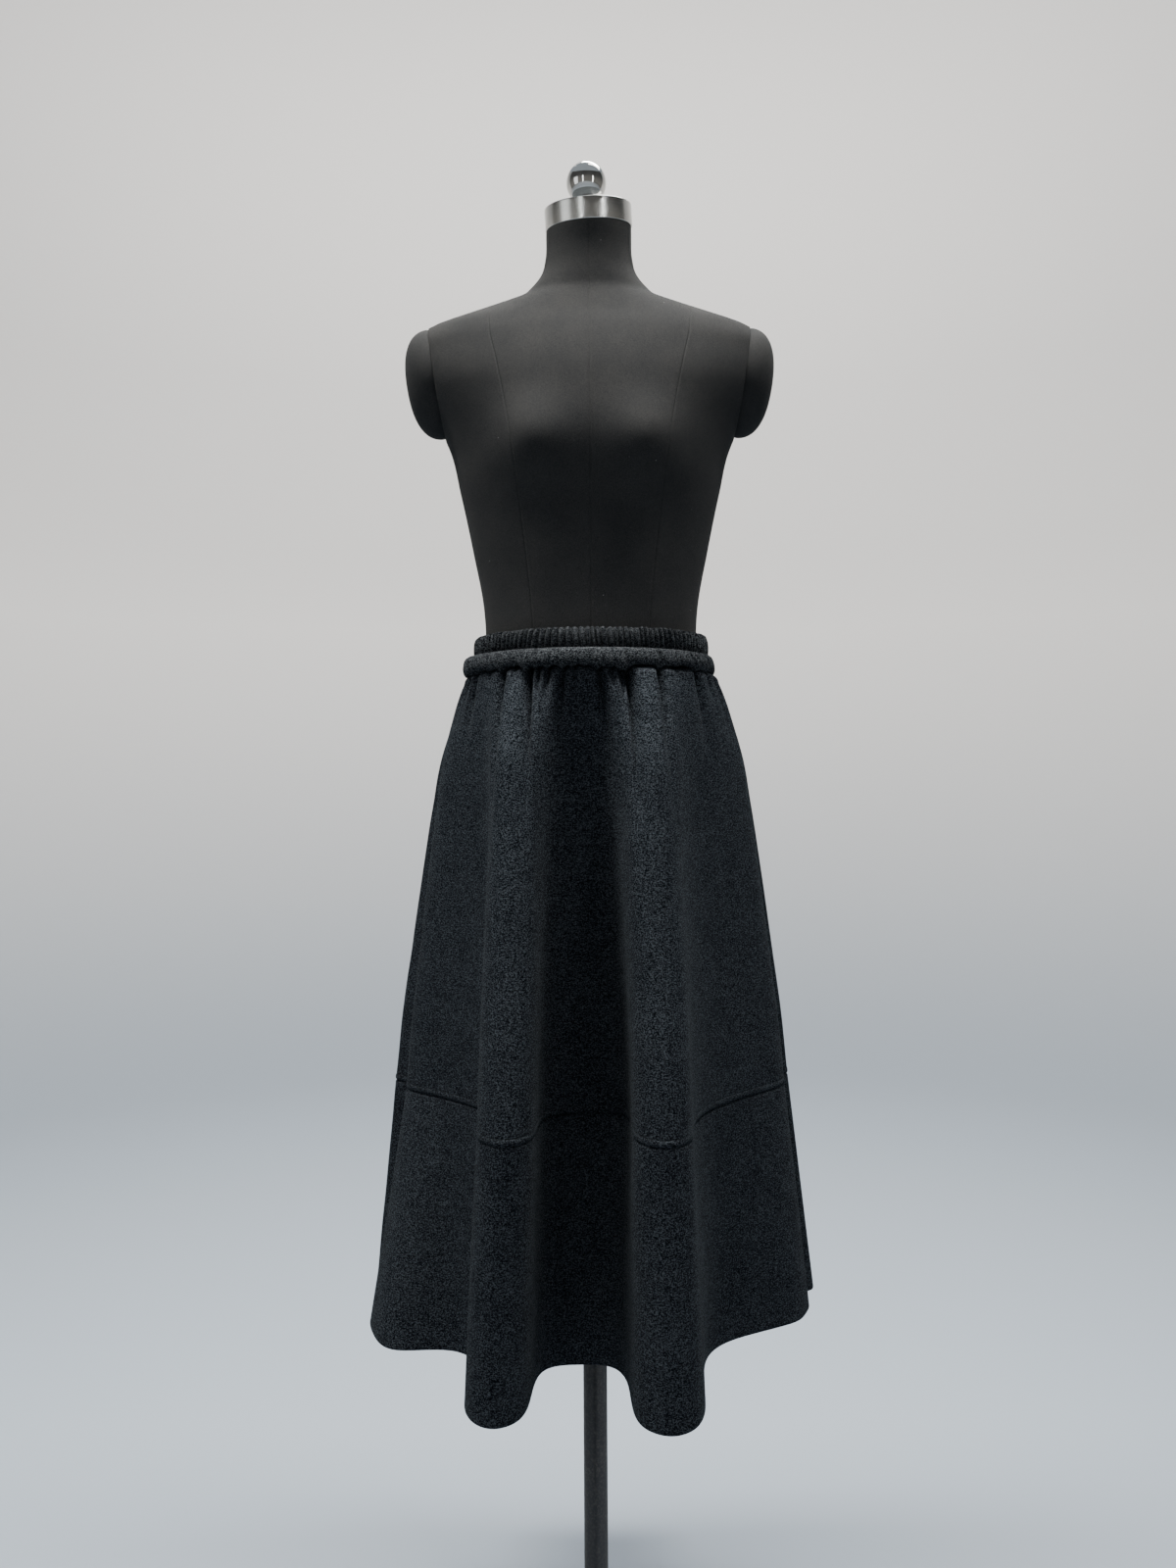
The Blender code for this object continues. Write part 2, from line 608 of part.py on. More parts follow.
def add_turned(name, profile, material, parent=None):
    """A turned solid: the profile runs from the axis at the top, out and down, to the axis again."""
    mesh = bpy.data.meshes.new(name)
    mesh.from_pydata([(r, 0.0, z) for r, z in profile], [(k, k + 1) for k in range(len(profile) - 1)], [])
    piece = bpy.data.objects.new(name, mesh)
    PARTS.objects.link(piece)
    piece.parent = parent
    screw = piece.modifiers.new("turned", "SCREW")
    screw.steps = TURNED_STEPS
    screw.render_steps = TURNED_STEPS
    screw.use_merge_vertices = True
    screw.merge_threshold = MERGE_DISTANCE
    screw.use_smooth_shade = True
    mesh.materials.append(material)
    return piece


def make_neck_fittings(neck):
    """Steel cap on the neck and its ball finial on a short stem."""
    top, bottom = CAP_HEIGHT / 2, -CAP_HEIGHT / 2
    rim = CAP_RADIUS - CAP_BEVEL
    profile = [(0.0, top), (rim, top), (CAP_RADIUS, top - CAP_BEVEL), (CAP_RADIUS, bottom + CAP_BEVEL),
               (rim, bottom), (0.0, bottom)]
    add_turned("neck_cap", profile, BRUSHED_STEEL, neck)
    foot = top + SEAM_GAP
    ball_centre = top + STEM_HEIGHT + BALL_RADIUS
    meeting = math.degrees(math.acos(STEM_RADIUS / BALL_RADIUS))
    profile = [(0.0, ball_centre + BALL_RADIUS)]
    profile += arc(0.0, ball_centre, BALL_RADIUS, BALL_TOP_RING, -meeting, BALL_STEPS)
    profile += [(STEM_RADIUS, foot), (0.0, foot)]
    add_turned("finial", profile, POLISHED_STEEL, neck)


def make_stand():
    """Painted pole from the round base plate up to the underside of the form."""
    rim = BASE_RADIUS - BASE_EDGE
    profile = [(0.0, BASE_HEIGHT)]
    profile += arc(rim, BASE_HEIGHT - BASE_EDGE, BASE_EDGE, 90, 0, BASE_EDGE_STEPS)
    profile += [(BASE_RADIUS, 0.0), (0.0, 0.0)]
    add_turned("base_plate", profile, BLACK_PAINT)
    low, high = BASE_HEIGHT + SEAM_GAP, FORM_BOTTOM - SEAM_GAP
    profile = [(0.0, high), (POLE_RADIUS, high), (POLE_RADIUS, low), (0.0, low)]
    add_turned("pole", profile, BLACK_PAINT)


def make_neck_axis():
    """Empty at the middle of the neck cap that gives the cap and the finial their lean."""
    neck = bpy.data.objects.new("neck_axis", None)
    neck.location = NECK_CAP_CENTRE
    neck.rotation_euler = (NECK_FORWARD_TILT, NECK_SIDE_LEAN, 0.0)
    PARTS.objects.link(neck)
    return neck


neck_axis = make_neck_axis()
make_skirt_panels()
make_casing()
make_roll()
make_form(neck_axis)
make_arm_cap(-1, "arm_cap_left")
make_arm_cap(1, "arm_cap_right")
make_neck_fittings(neck_axis)
make_stand()
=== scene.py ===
import math

import bmesh
import bpy
import numpy as np
from mathutils import Euler, Matrix, Vector


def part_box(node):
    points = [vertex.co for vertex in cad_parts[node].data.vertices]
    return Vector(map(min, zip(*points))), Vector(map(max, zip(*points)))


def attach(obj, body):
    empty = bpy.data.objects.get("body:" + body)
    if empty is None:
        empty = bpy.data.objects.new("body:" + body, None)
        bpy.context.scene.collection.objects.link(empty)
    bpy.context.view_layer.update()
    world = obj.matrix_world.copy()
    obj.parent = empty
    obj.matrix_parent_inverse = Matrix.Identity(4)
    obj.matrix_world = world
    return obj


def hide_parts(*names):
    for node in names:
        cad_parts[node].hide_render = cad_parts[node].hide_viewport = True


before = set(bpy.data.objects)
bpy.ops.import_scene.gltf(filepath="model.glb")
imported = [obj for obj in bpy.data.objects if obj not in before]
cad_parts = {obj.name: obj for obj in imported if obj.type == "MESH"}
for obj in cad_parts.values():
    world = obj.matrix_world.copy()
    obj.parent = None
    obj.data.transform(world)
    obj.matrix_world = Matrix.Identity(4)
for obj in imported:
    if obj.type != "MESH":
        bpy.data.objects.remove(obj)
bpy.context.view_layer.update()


# The stand: a round steel plate on the floor and a straight pole up to the underside of the form.
# Both are turned, painted in black satin, and screwed together under the plate.
PLATE_EDGE = 0.004
PLATE_CROWN = 0.0015
PLATE_FLAT_RADIUS = 0.05
FOOT_BEVEL = 0.001
POLE_RADIUS = 0.013
POLE_SEAT = 0.0003
POLE_COLLAR_RADIUS = 0.0145
POLE_COLLAR_HEIGHT = 0.006
TURNED_STEPS = 96
AXIS_MERGE = 0.00002
PAINT_COLOUR = (0.012, 0.014, 0.017, 1)
PAINT_WORN_COLOUR = (0.075, 0.078, 0.080, 1)
PAINT_DUST_COLOUR = (0.14, 0.14, 0.135, 1)


def set_inputs(tree, node, inputs):
    """Link a node's inputs to the sockets that are given, and set the others to their constants."""
    for name, value in inputs.items():
        if isinstance(value, bpy.types.NodeSocket):
            tree.links.new(value, node.inputs[name])
        else:
            node.inputs[name].default_value = value


def add_node(tree, kind, inputs=None, **settings):
    """A shader node with its settings and its inputs."""
    node = tree.nodes.new("ShaderNode" + kind)
    for setting, value in settings.items():
        setattr(node, setting, value)
    set_inputs(tree, node, inputs or {})
    return node


def math_step(tree, operation, *values, clamp=False):
    """Output of one Math node."""
    return add_node(tree, "Math", dict(enumerate(values)), operation=operation, use_clamp=clamp).outputs[0]


def times(tree, first, second):
    """Product of two values."""
    return math_step(tree, "MULTIPLY", first, second)


def mix_colours(tree, share, first, second):
    """Output of a colour Mix node."""
    return add_node(tree, "Mix", {0: share, 6: first, 7: second}, data_type="RGBA").outputs[2]


def span(tree, value, low, high, low_result=0.0, high_result=1.0):
    """Output of a Map Range node that is clamped at both ends."""
    return add_node(tree, "MapRange", {0: value, 1: low, 2: high, 3: low_result, 4: high_result}).outputs[0]


def noise(tree, place, scale, detail, **more):
    """Output of a Noise Texture node."""
    return add_node(tree, "TexNoise", {"Vector": place, "Scale": scale, "Detail": detail, **more}).outputs[0]


def own_place(tree):
    """Place on the piece, in its own metres."""
    return add_node(tree, "TexCoord").outputs["Object"]


def raised(tree, strength, distance, height):
    """Normal of a surface that a height lifts."""
    bump = add_node(tree, "Bump", {"Strength": strength, "Distance": distance, "Height": height})
    return bump.outputs[0]


def new_group(name, inputs, outputs):
    """An empty shader node group with named inputs and outputs."""
    group = bpy.data.node_groups.new(name, "ShaderNodeTree")
    for label, kind, value in inputs:
        socket = group.interface.new_socket(label, in_out="INPUT", socket_type="NodeSocket" + kind)
        if kind != "Vector":
            socket.default_value = value
    for label, kind in outputs:
        group.interface.new_socket(label, in_out="OUTPUT", socket_type="NodeSocket" + kind)
    given = group.nodes.new("NodeGroupInput").outputs
    results = group.nodes.new("NodeGroupOutput").inputs
    return group, given, results


def use_group(tree, group, inputs):
    """Outputs of a node group placed in a material."""
    return add_node(tree, "Group", inputs, node_tree=group).outputs


def new_material(name):
    """A material's node tree and its Principled BSDF."""
    material = bpy.data.materials.new(name)
    material.use_nodes = True
    return material, material.node_tree, material.node_tree.nodes["Principled BSDF"]


def make_handling_marks():
    """Fine scratches, and dust that has settled on faces that look up."""
    group, given, results = new_group(
        "handling marks",
        [("Scratch length", "Float", 0.03), ("Scratch share", "Float", 0.1), ("Dust share", "Float", 0.5)],
        [("Scratches", "Float"), ("Dust", "Float")])
    place = own_place(group)
    stretched = add_node(group, "Mapping", {"Vector": place, "Scale": (1, 1, 0.12)}).outputs[0]
    turned = add_node(group, "Mapping", {"Vector": stretched, "Rotation": (0.5, 0.9, 0.3)}).outputs[0]
    lines = noise(group, turned, math_step(group, "DIVIDE", 14.0, given["Scratch length"]), 2.0)
    threshold = math_step(group, "SUBTRACT", 0.78, given["Scratch share"])
    soft_end = math_step(group, "ADD", threshold, 0.03)
    group.links.new(span(group, lines, threshold, soft_end), results["Scratches"])
    facing = add_node(group, "SeparateXYZ", {0: add_node(group, "NewGeometry").outputs["Normal"]}).outputs[2]
    specks = noise(group, place, 420.0, 6.0)
    clouds = noise(group, place, 9.0, 3.0)
    settled = times(group, span(group, facing, 0.3, 1.0), span(group, specks, 0.45, 0.75))
    settled = times(group, settled, span(group, clouds, 0.3, 0.7, 0.4, 1.0))
    group.links.new(math_step(group, "MULTIPLY", settled, given["Dust share"], clamp=True), results["Dust"])
    return group


HANDLING_MARKS = make_handling_marks()


def make_satin_paint():
    """Black satin paint with a faint orange peel, hairline scratches and a little dust."""
    material, tree, shader = new_material("black_satin_paint")
    marks = use_group(tree, HANDLING_MARKS,
                      {"Scratch length": 0.05, "Scratch share": 0.02, "Dust share": 0.35})
    scratched = mix_colours(tree, times(tree, marks["Scratches"], 0.4), PAINT_COLOUR, PAINT_WORN_COLOUR)
    place = own_place(tree)
    clouds = span(tree, noise(tree, place, 18.0, 4.0), 0.3, 0.7, 0.36, 0.46)
    set_inputs(tree, shader, {
        "Base Color": mix_colours(tree, marks["Dust"], scratched, PAINT_DUST_COLOUR),
        "Roughness": math_step(tree, "ADD", clouds, times(tree, marks["Dust"], 0.4)),
        "Normal": raised(tree, 0.12, 0.0003, noise(tree, place, 260.0, 2.0)),
        "Specular IOR Level": 0.3,
    })
    return material


SATIN_PAINT = make_satin_paint()


def fit(piece, material, slot, *nodes):
    """Give a piece its finish, set it on the part and let it stand for the nodes it replaces."""
    piece.data.materials.clear()
    piece.data.materials.append(material)
    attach(piece, "root")
    if nodes:
        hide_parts(*nodes)
    return piece


def add_piece(name, data):
    """An object in the scene, round its mesh, lamp or lens."""
    piece = bpy.data.objects.new(name, data)
    bpy.context.scene.collection.objects.link(piece)
    return piece


def corner(centre_r, centre_z, radius, start, end, steps=6):
    """Profile points round a corner, by its angles in degrees up from the outward direction."""
    angles = [math.radians(start + (end - start) * k / steps) for k in range(steps + 1)]
    return [(centre_r + radius * math.cos(angle), centre_z + radius * math.sin(angle)) for angle in angles]


def turn(name, profile, seat=Matrix.Identity(4)):
    """A turned piece: its profile runs from the axis at the top, out and down, to the axis again."""
    mesh = bpy.data.meshes.new(name)
    mesh.from_pydata([(r, 0.0, z) for r, z in profile], [(k, k + 1) for k in range(len(profile) - 1)], [])
    piece = add_piece(name, mesh)
    screw = piece.modifiers.new("turned", "SCREW")
    screw.steps = TURNED_STEPS
    screw.render_steps = TURNED_STEPS
    screw.use_merge_vertices = True
    screw.merge_threshold = AXIS_MERGE
    screw.use_smooth_shade = True
    piece.matrix_world = seat
    return piece


plate_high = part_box("base_plate")[1]
pole_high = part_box("pole")[1]
plate_radius = plate_high.x
plate_top = plate_high.z - PLATE_CROWN
rim = plate_radius - PLATE_EDGE
plate_profile = [(0.0, plate_high.z), (PLATE_FLAT_RADIUS, plate_high.z), (rim, plate_top)]
plate_profile += corner(rim, plate_top - PLATE_EDGE, PLATE_EDGE, 84, 0)
plate_profile += corner(plate_radius - FOOT_BEVEL, FOOT_BEVEL, FOOT_BEVEL, 0, -90, 3) + [(0.0, 0.0)]
fit(turn("round_base_plate", plate_profile), SATIN_PAINT, "black_paint", "base_plate")

pole_foot = plate_high.z + POLE_SEAT
collar_top = pole_foot + POLE_COLLAR_HEIGHT
pole_profile = [(0.0, pole_high.z), (POLE_RADIUS, pole_high.z), (POLE_RADIUS, collar_top)]
pole_profile += corner(POLE_COLLAR_RADIUS - FOOT_BEVEL, collar_top - FOOT_BEVEL, FOOT_BEVEL, 90, 0, 3)
pole_profile += [(POLE_COLLAR_RADIUS, pole_foot), (0.0, pole_foot)]
fit(turn("stand_pole", pole_profile), SATIN_PAINT, "black_paint", "pole")


# The form's torso: a moulded shell under a thin pad, covered in a tight black jersey. The cover is cut in
# panels: its seams run down the centre front and back, over each bust point, down the sides and along
# the shoulders, and they lie in small grooves.
# Height, half width, depth in front and behind, and shift to the back of each section
FORM_SECTIONS = (
    (1.650, 0.0465, 0.0470, 0.0470, -0.006),
    (1.600, 0.0465, 0.0470, 0.0470, -0.003),
    (1.575, 0.0475, 0.0480, 0.0480, 0.001),
    (1.554, 0.0540, 0.0510, 0.0520, 0.004),
    (1.540, 0.0660, 0.0540, 0.0560, 0.006),
    (1.5295, 0.0800, 0.0560, 0.0600, 0.007),
    (1.519, 0.1120, 0.0600, 0.0660, 0.007),
    (1.5085, 0.1450, 0.0640, 0.0720, 0.006),
    (1.497, 0.1780, 0.0690, 0.0790, 0.005),
    (1.484, 0.1910, 0.0760, 0.0860, 0.004),
    (1.460, 0.1930, 0.0860, 0.0940, 0.002),
    (1.430, 0.1870, 0.0950, 0.0990, 0.000),
    (1.402, 0.1720, 0.1010, 0.1010, 0.000),
    (1.385, 0.1620, 0.1035, 0.1010, 0.000),
    (1.365, 0.1530, 0.1050, 0.1000, 0.000),
    (1.317, 0.1414, 0.1030, 0.0960, 0.000),
    (1.253, 0.1280, 0.0985, 0.0915, 0.000),
    (1.188, 0.1165, 0.0965, 0.0900, 0.000),
    (1.160, 0.1150, 0.0970, 0.0905, 0.000),
    (1.138, 0.1162, 0.0975, 0.0930, 0.000),
    (1.100, 0.1240, 0.0970, 0.0990, 0.000),
    (1.040, 0.1350, 0.0930, 0.1040, 0.000),
    (0.985, 0.1370, 0.0890, 0.1050, 0.000),
    (0.952, 0.1330, 0.0840, 0.1000, 0.000),
    (0.940, 0.1240, 0.0770, 0.0910, 0.000),
)
BUST_X = 0.064
BUST_HEIGHT = 1.346
BUST_RISE = 0.019
BUST_SPREAD_X = 0.043
BUST_SPREAD_Z = 0.046
# Height, and the seam's distance from the centre line in front and behind
PRINCESS_SEAM = (
    (1.530, 0.080, 0.080),
    (1.505, 0.104, 0.100),
    (1.480, 0.105, 0.104),
    (1.440, 0.097, 0.100),
    (1.400, 0.089, 0.092),
    (1.346, 0.080, 0.082),
    (1.290, 0.073, 0.073),
    (1.230, 0.066, 0.066),
    (1.160, 0.060, 0.060),
    (1.040, 0.068, 0.070),
    (0.940, 0.070, 0.072),
)
PRINCESS_WIDEST_SHARE = 0.92
CHEST_HEIGHT = 1.30
FORM_ROW_STEP = 0.004
FORM_COLUMN_STEP = math.radians(2.5)
COVER_SEAM_DEPTH = 0.0005
COVER_SEAM_WIDTH = 0.0007
COVER_SEAM_WELT = 0.0001
COVER_WELT_PLACE = 0.0022
COVER_WELT_WIDTH = 0.0014
COVER_SEAM_COLUMNS = (0.0, 0.0007, 0.0014, 0.0022, 0.0035, 0.0055)
SHARP_EDGE = math.radians(48)
ARMHOLE_TOP = (0.1745, 1.498)
ARMHOLE_BOTTOM = (0.1580, 1.381)
ARMHOLE_BACK_SHIFT = 0.002
NECK_CAP_CENTRE = (-0.0003, -0.005, 1.6175)
NECK_LEAN = (math.radians(10.8), math.radians(-3.3), 0.0)
NECK_CAP_HEIGHT = 0.0226
JERSEY_COLOUR = (0.0088, 0.0100, 0.0114, 1)
JERSEY_WORN_COLOUR = (0.0325, 0.0322, 0.0315, 1)
LINT_COLOUR = (0.20, 0.20, 0.20, 1)


def at_height(points, height):
    """Plan points lifted to their height or heights."""
    return np.column_stack([points, np.broadcast_to(height, len(points))])


def ease_between(t, gap, start, start_slope, end, end_slope):
    """Smooth step at the share t of a gap, from one value and slope to the next."""
    return ((2 * t**3 - 3 * t**2 + 1) * start + (t**3 - 2 * t**2 + t) * gap * start_slope
            + (3 * t**2 - 2 * t**3) * end + (t**3 - t**2) * gap * end_slope)


def smooth_value(table, column, height):
    """One column of a table at a height, on the smooth line through its rows, which run downward."""
    heights, values = np.array([(row[0], row[column]) for row in table]).T
    slopes = np.gradient(values, heights)
    row = np.clip(np.searchsorted(-heights, -height, side="right") - 1, 0, len(heights) - 2)
    gap = heights[row + 1] - heights[row]
    return float(ease_between((height - heights[row]) / gap, gap, values[row], slopes[row], values[row + 1],
                              slopes[row + 1]))


def oval(angles, half_width, front, back):
    """Points of an oval in plan; angle 0 is the front and 90 degrees the photograph's right."""
    sine, cosine = np.sin(angles), np.cos(angles)
    return np.stack([half_width * sine, np.where(cosine > 0, -front * cosine, -back * cosine)], axis=-1)


def form_oval(angles, height, clearance=0.0):
    """Points of the form's section at a height, moved out by a clearance."""
    half_width, front, back, shift = (smooth_value(FORM_SECTIONS, column, height) for column in (1, 2, 3, 4))
    points = oval(angles, half_width + clearance, front + clearance, back + clearance)
    points[:, 1] += shift
    return points


def outward_in_plan(points, closed=True):
    """Outward direction at each point of a run that goes round the front to the right."""
    if closed:
        tangents = np.roll(points, -1, axis=0) - np.roll(points, 1, axis=0)
    else:
        tangents = np.gradient(points, axis=0)
    tangents /= np.linalg.norm(tangents, axis=1)[:, None]
    return np.stack([tangents[:, 1], -tangents[:, 0]], axis=1)


def cloth_grid(name, rows_of_points, closed=False):
    """Mesh object through rows of points, top row first, facing outward. Its UV map holds metres of cloth."""
    points = np.array(rows_of_points)
    rows, columns = points.shape[:2]
    wrapped = np.concatenate([points, points[:, :1]], axis=1) if closed else points
    across = np.linalg.norm(np.diff(wrapped, axis=1), axis=2)
    run = np.concatenate([np.zeros((rows, 1)), np.cumsum(across, axis=1)], axis=1)
    run -= run[:, run.shape[1] // 2][:, None]
    down = np.linalg.norm(np.diff(wrapped, axis=0), axis=2)
    drop = np.concatenate([np.zeros((1, wrapped.shape[1])), np.cumsum(down, axis=0)], axis=0)
    cut = np.stack([run, -drop], axis=2)
    upper, left = np.meshgrid(np.arange(rows - 1), np.arange(wrapped.shape[1] - 1), indexing="ij")
    upper, left = upper.ravel(), left.ravel()
    right = (left + 1) % columns
    faces = np.stack([upper * columns + left, (upper + 1) * columns + left,
                      (upper + 1) * columns + right, upper * columns + right], axis=1)
    mesh = bpy.data.meshes.new(name)
    mesh.from_pydata(points.reshape(-1, 3).tolist(), [], faces.tolist())
    corners = np.stack([cut[upper, left], cut[upper + 1, left], cut[upper + 1, left + 1],
                        cut[upper, left + 1]], axis=1)
    mesh.uv_layers.new(name="cut").data.foreach_set("uv", corners.astype(np.float32).ravel())
    mesh.shade_smooth()
    return add_piece(name, mesh)


def make_knit_face():
    """The face of a fine knit: wales of V stitches, as a height over the cloth's own width and length."""
    group, given, results = new_group(
        "knit face",
        [("Cut", "Vector", None), ("Wale", "Float", 0.001), ("Course", "Float", 0.001)],
        [("Height", "Float")])
    parts = add_node(group, "SeparateXYZ", {0: given["Cut"]}).outputs
    wale = math_step(group, "DIVIDE", parts[0], given["Wale"])
    across = math_step(group, "ABSOLUTE", math_step(group, "SUBTRACT", math_step(group, "FRACT", wale), 0.5))
    course = math_step(group, "ADD", math_step(group, "DIVIDE", parts[1], given["Course"]), across)
    loops = math_step(group, "SINE", times(group, course, math.tau))
    rounded = math_step(group, "SUBTRACT", 1.0, times(group, times(group, across, across), 4.0))
    stitches = math_step(group, "MULTIPLY_ADD", loops, 0.25, 0.75)
    group.links.new(times(group, stitches, rounded), results["Height"])
    return group


KNIT_FACE = make_knit_face()


def make_form_jersey():
    """Tight black jersey: a fine matt knit that is a little worn in soft patches at random and holds lint."""
    material, tree, shader = new_material("black_form_jersey")
    place = own_place(tree)
    cut = add_node(tree, "UVMap", uv_map="cut").outputs[0]
    knit = use_group(tree, KNIT_FACE, {"Cut": cut, "Wale": 0.0011, "Course": 0.0009})["Height"]
    clouds = span(tree, noise(tree, place, 22.0, 5.0), 0.35, 0.7)
    fibres = noise(tree, place, 1300.0, 3.0)
    worn = math_step(tree, "MULTIPLY_ADD", clouds, 0.15, times(tree, span(tree, fibres, 0.3, 0.7), 0.7))
    cover = mix_colours(tree, worn, JERSEY_COLOUR, JERSEY_WORN_COLOUR)
    flecks = add_node(tree, "TexVoronoi", {"Vector": place, "Scale": 75.0, "Randomness": 1.0})
    chosen = add_node(tree, "SeparateColor", {0: flecks.outputs["Color"]}).outputs[0]
    lint = times(tree, span(tree, flecks.outputs["Distance"], 0.05, 0.02), span(tree, chosen, 0.90, 0.94))
    set_inputs(tree, shader, {
        "Base Color": mix_colours(tree, times(tree, lint, 0.6), cover, LINT_COLOUR),
        "Normal": raised(tree, 0.35, 0.0004, math_step(tree, "MULTIPLY_ADD", fibres, 0.5, knit)),
        "Roughness": 0.88,
        "Specular IOR Level": 0.03,
        "Sheen Weight": 0.01,
        "Sheen Roughness": 0.40,
    })
    return material


FORM_JERSEY = make_form_jersey()


def princess_angles(height):
    """Angles round the form at which its eight cover seams lie at a height."""
    half_width = smooth_value(FORM_SECTIONS, 1, height)
    inside = np.clip(height, PRINCESS_SEAM[-1][0], PRINCESS_SEAM[0][0])
    front, back = (smooth_value(PRINCESS_SEAM, column, inside) for column in (1, 2))
    front_angle = math.asin(min(PRINCESS_WIDEST_SHARE, front / half_width))
    back_angle = math.pi - math.asin(min(PRINCESS_WIDEST_SHARE, back / half_width))
    return [0.0, front_angle, math.pi / 2, back_angle, math.pi, math.tau - back_angle, 1.5 * math.pi,
            math.tau - front_angle]


def form_columns():
    """Columns of the torso's mesh, as a share of the way from one seam to the next, and metres beside it."""
    columns = []
    usual = princess_angles(CHEST_HEIGHT) + [math.tau]
    for seam, (start, end) in enumerate(zip(usual, usual[1:])):
        steps = max(4, round((end - start) / FORM_COLUMN_STEP))
        columns += [(seam, 0.0, beside) for beside in COVER_SEAM_COLUMNS]
        columns += [(seam, k / steps, 0.0) for k in range(1, steps)]
        columns += [(seam, 1.0, -beside) for beside in COVER_SEAM_COLUMNS[:0:-1]]
    return columns


def bust_rise(points, height):
    """Forward rise of the bust at each point of a section's front."""
    rise = np.zeros(len(points))
    for side in (-1, 1):
        away = (points[:, 0] - side * BUST_X) / BUST_SPREAD_X
        up = (height - BUST_HEIGHT) / BUST_SPREAD_Z
        rise += BUST_RISE * np.exp(-away**2 - up**2)
    return np.where(points[:, 1] < 0, rise, 0)


def make_torso():
    """The covered torso, cut flat at the armholes and at the neck."""
    top, bottom = FORM_SECTIONS[0][0], FORM_SECTIONS[-1][0]
    heights = np.linspace(top, bottom, round((top - bottom) / FORM_ROW_STEP) + 1)
    columns = form_columns()
    rows = []
    for height in heights:
        seams = princess_angles(height) + [math.tau]
        size = np.abs(form_oval(np.array([math.pi / 2]), height)[0, 0])
        angles = np.array([seams[seam] + (seams[seam + 1] - seams[seam]) * share + beside / size
                           for seam, share, beside in columns])
        points = form_oval(angles, height)
        points[:, 1] -= bust_rise(points, height)
        out = outward_in_plan(points)
        beside = np.array([abs(beside) if share in (0.0, 1.0) else 1.0 for seam, share, beside in columns])
        relief = (COVER_SEAM_WELT * np.exp(-((beside - COVER_WELT_PLACE) / COVER_WELT_WIDTH) ** 2)
                  - COVER_SEAM_DEPTH * np.exp(-(beside / COVER_SEAM_WIDTH) ** 2))
        points += out * relief[:, None]
        rows.append(at_height(points, height))
    piece = cloth_grid("form_torso", rows, closed=True)
    body = bmesh.new()
    body.from_mesh(piece.data)
    cut_off_neck(body)
    for side in (-1, 1):
        cut_off_arm(body, side)
    bmesh.ops.holes_fill(body, edges=[edge for edge in body.edges if edge.is_boundary])
    body.to_mesh(piece.data)
    body.free()
    piece.data.set_sharp_from_angle(angle=SHARP_EDGE)
    return piece


def cut_off_neck(body):
    """Cut the neck flat just under the neck cap."""
    turn_of_neck = Euler(NECK_LEAN).to_matrix()
    place = Vector(NECK_CAP_CENTRE) + turn_of_neck @ Vector((0, 0, -NECK_CAP_HEIGHT / 2 - POLE_SEAT))
    whole = body.verts[:] + body.edges[:] + body.faces[:]
    bmesh.ops.bisect_plane(body, geom=whole, plane_co=place, plane_no=turn_of_neck @ Vector((0, 0, 1)),
                           clear_outer=True)


def armhole_frame(side):
    """Centre of an armhole plane, and the plane's turn about Y, for side -1 or 1."""
    centre = Vector((side * (ARMHOLE_TOP[0] + ARMHOLE_BOTTOM[0]) / 2, ARMHOLE_BACK_SHIFT,
                     (ARMHOLE_TOP[1] + ARMHOLE_BOTTOM[1]) / 2))
    slope = math.atan2(ARMHOLE_TOP[0] - ARMHOLE_BOTTOM[0], ARMHOLE_TOP[1] - ARMHOLE_BOTTOM[1])
    return centre, (0.0, slope, 0.0) if side > 0 else (0.0, math.pi - slope, 0.0)


def cut_off_arm(body, side):
    """Cut the shoulder flat at the armhole plane."""
    centre, rotation = armhole_frame(side)
    chest = [face for face in body.faces if face.calc_center_median().z > CHEST_HEIGHT]
    edges = dict.fromkeys(edge for face in chest for edge in face.edges)
    corners = dict.fromkeys(vertex for face in chest for vertex in face.verts)
    bmesh.ops.bisect_plane(body, geom=[*corners, *edges, *chest], plane_co=centre,
                           plane_no=Euler(rotation).to_matrix() @ Vector((1, 0, 0)), clear_outer=True)


torso = fit(make_torso(), FORM_JERSEY, "form_cloth", "torso")


# Arm caps: stuffed round pads that close the armholes. Each is a disc of jersey gathered over a filling
# and sewn to the cover all round, so a fine crease shows where it meets the torso.
ARM_CAP_DEPTH = 0.0335
ARM_CAP_HALF_DEPTH = 0.0455
ARM_CAP_FULLNESS = 2.5
ARM_CAP_CREASE = 0.0006
ARM_CAP_CREASE_WIDTH = 0.0025
ARM_CAP_SHARP_EDGE = math.radians(60)
ARM_CAP_AROUND = 120
ARM_CAP_RINGS = 40
ARM_CAP_FIRST_RING = 0.02


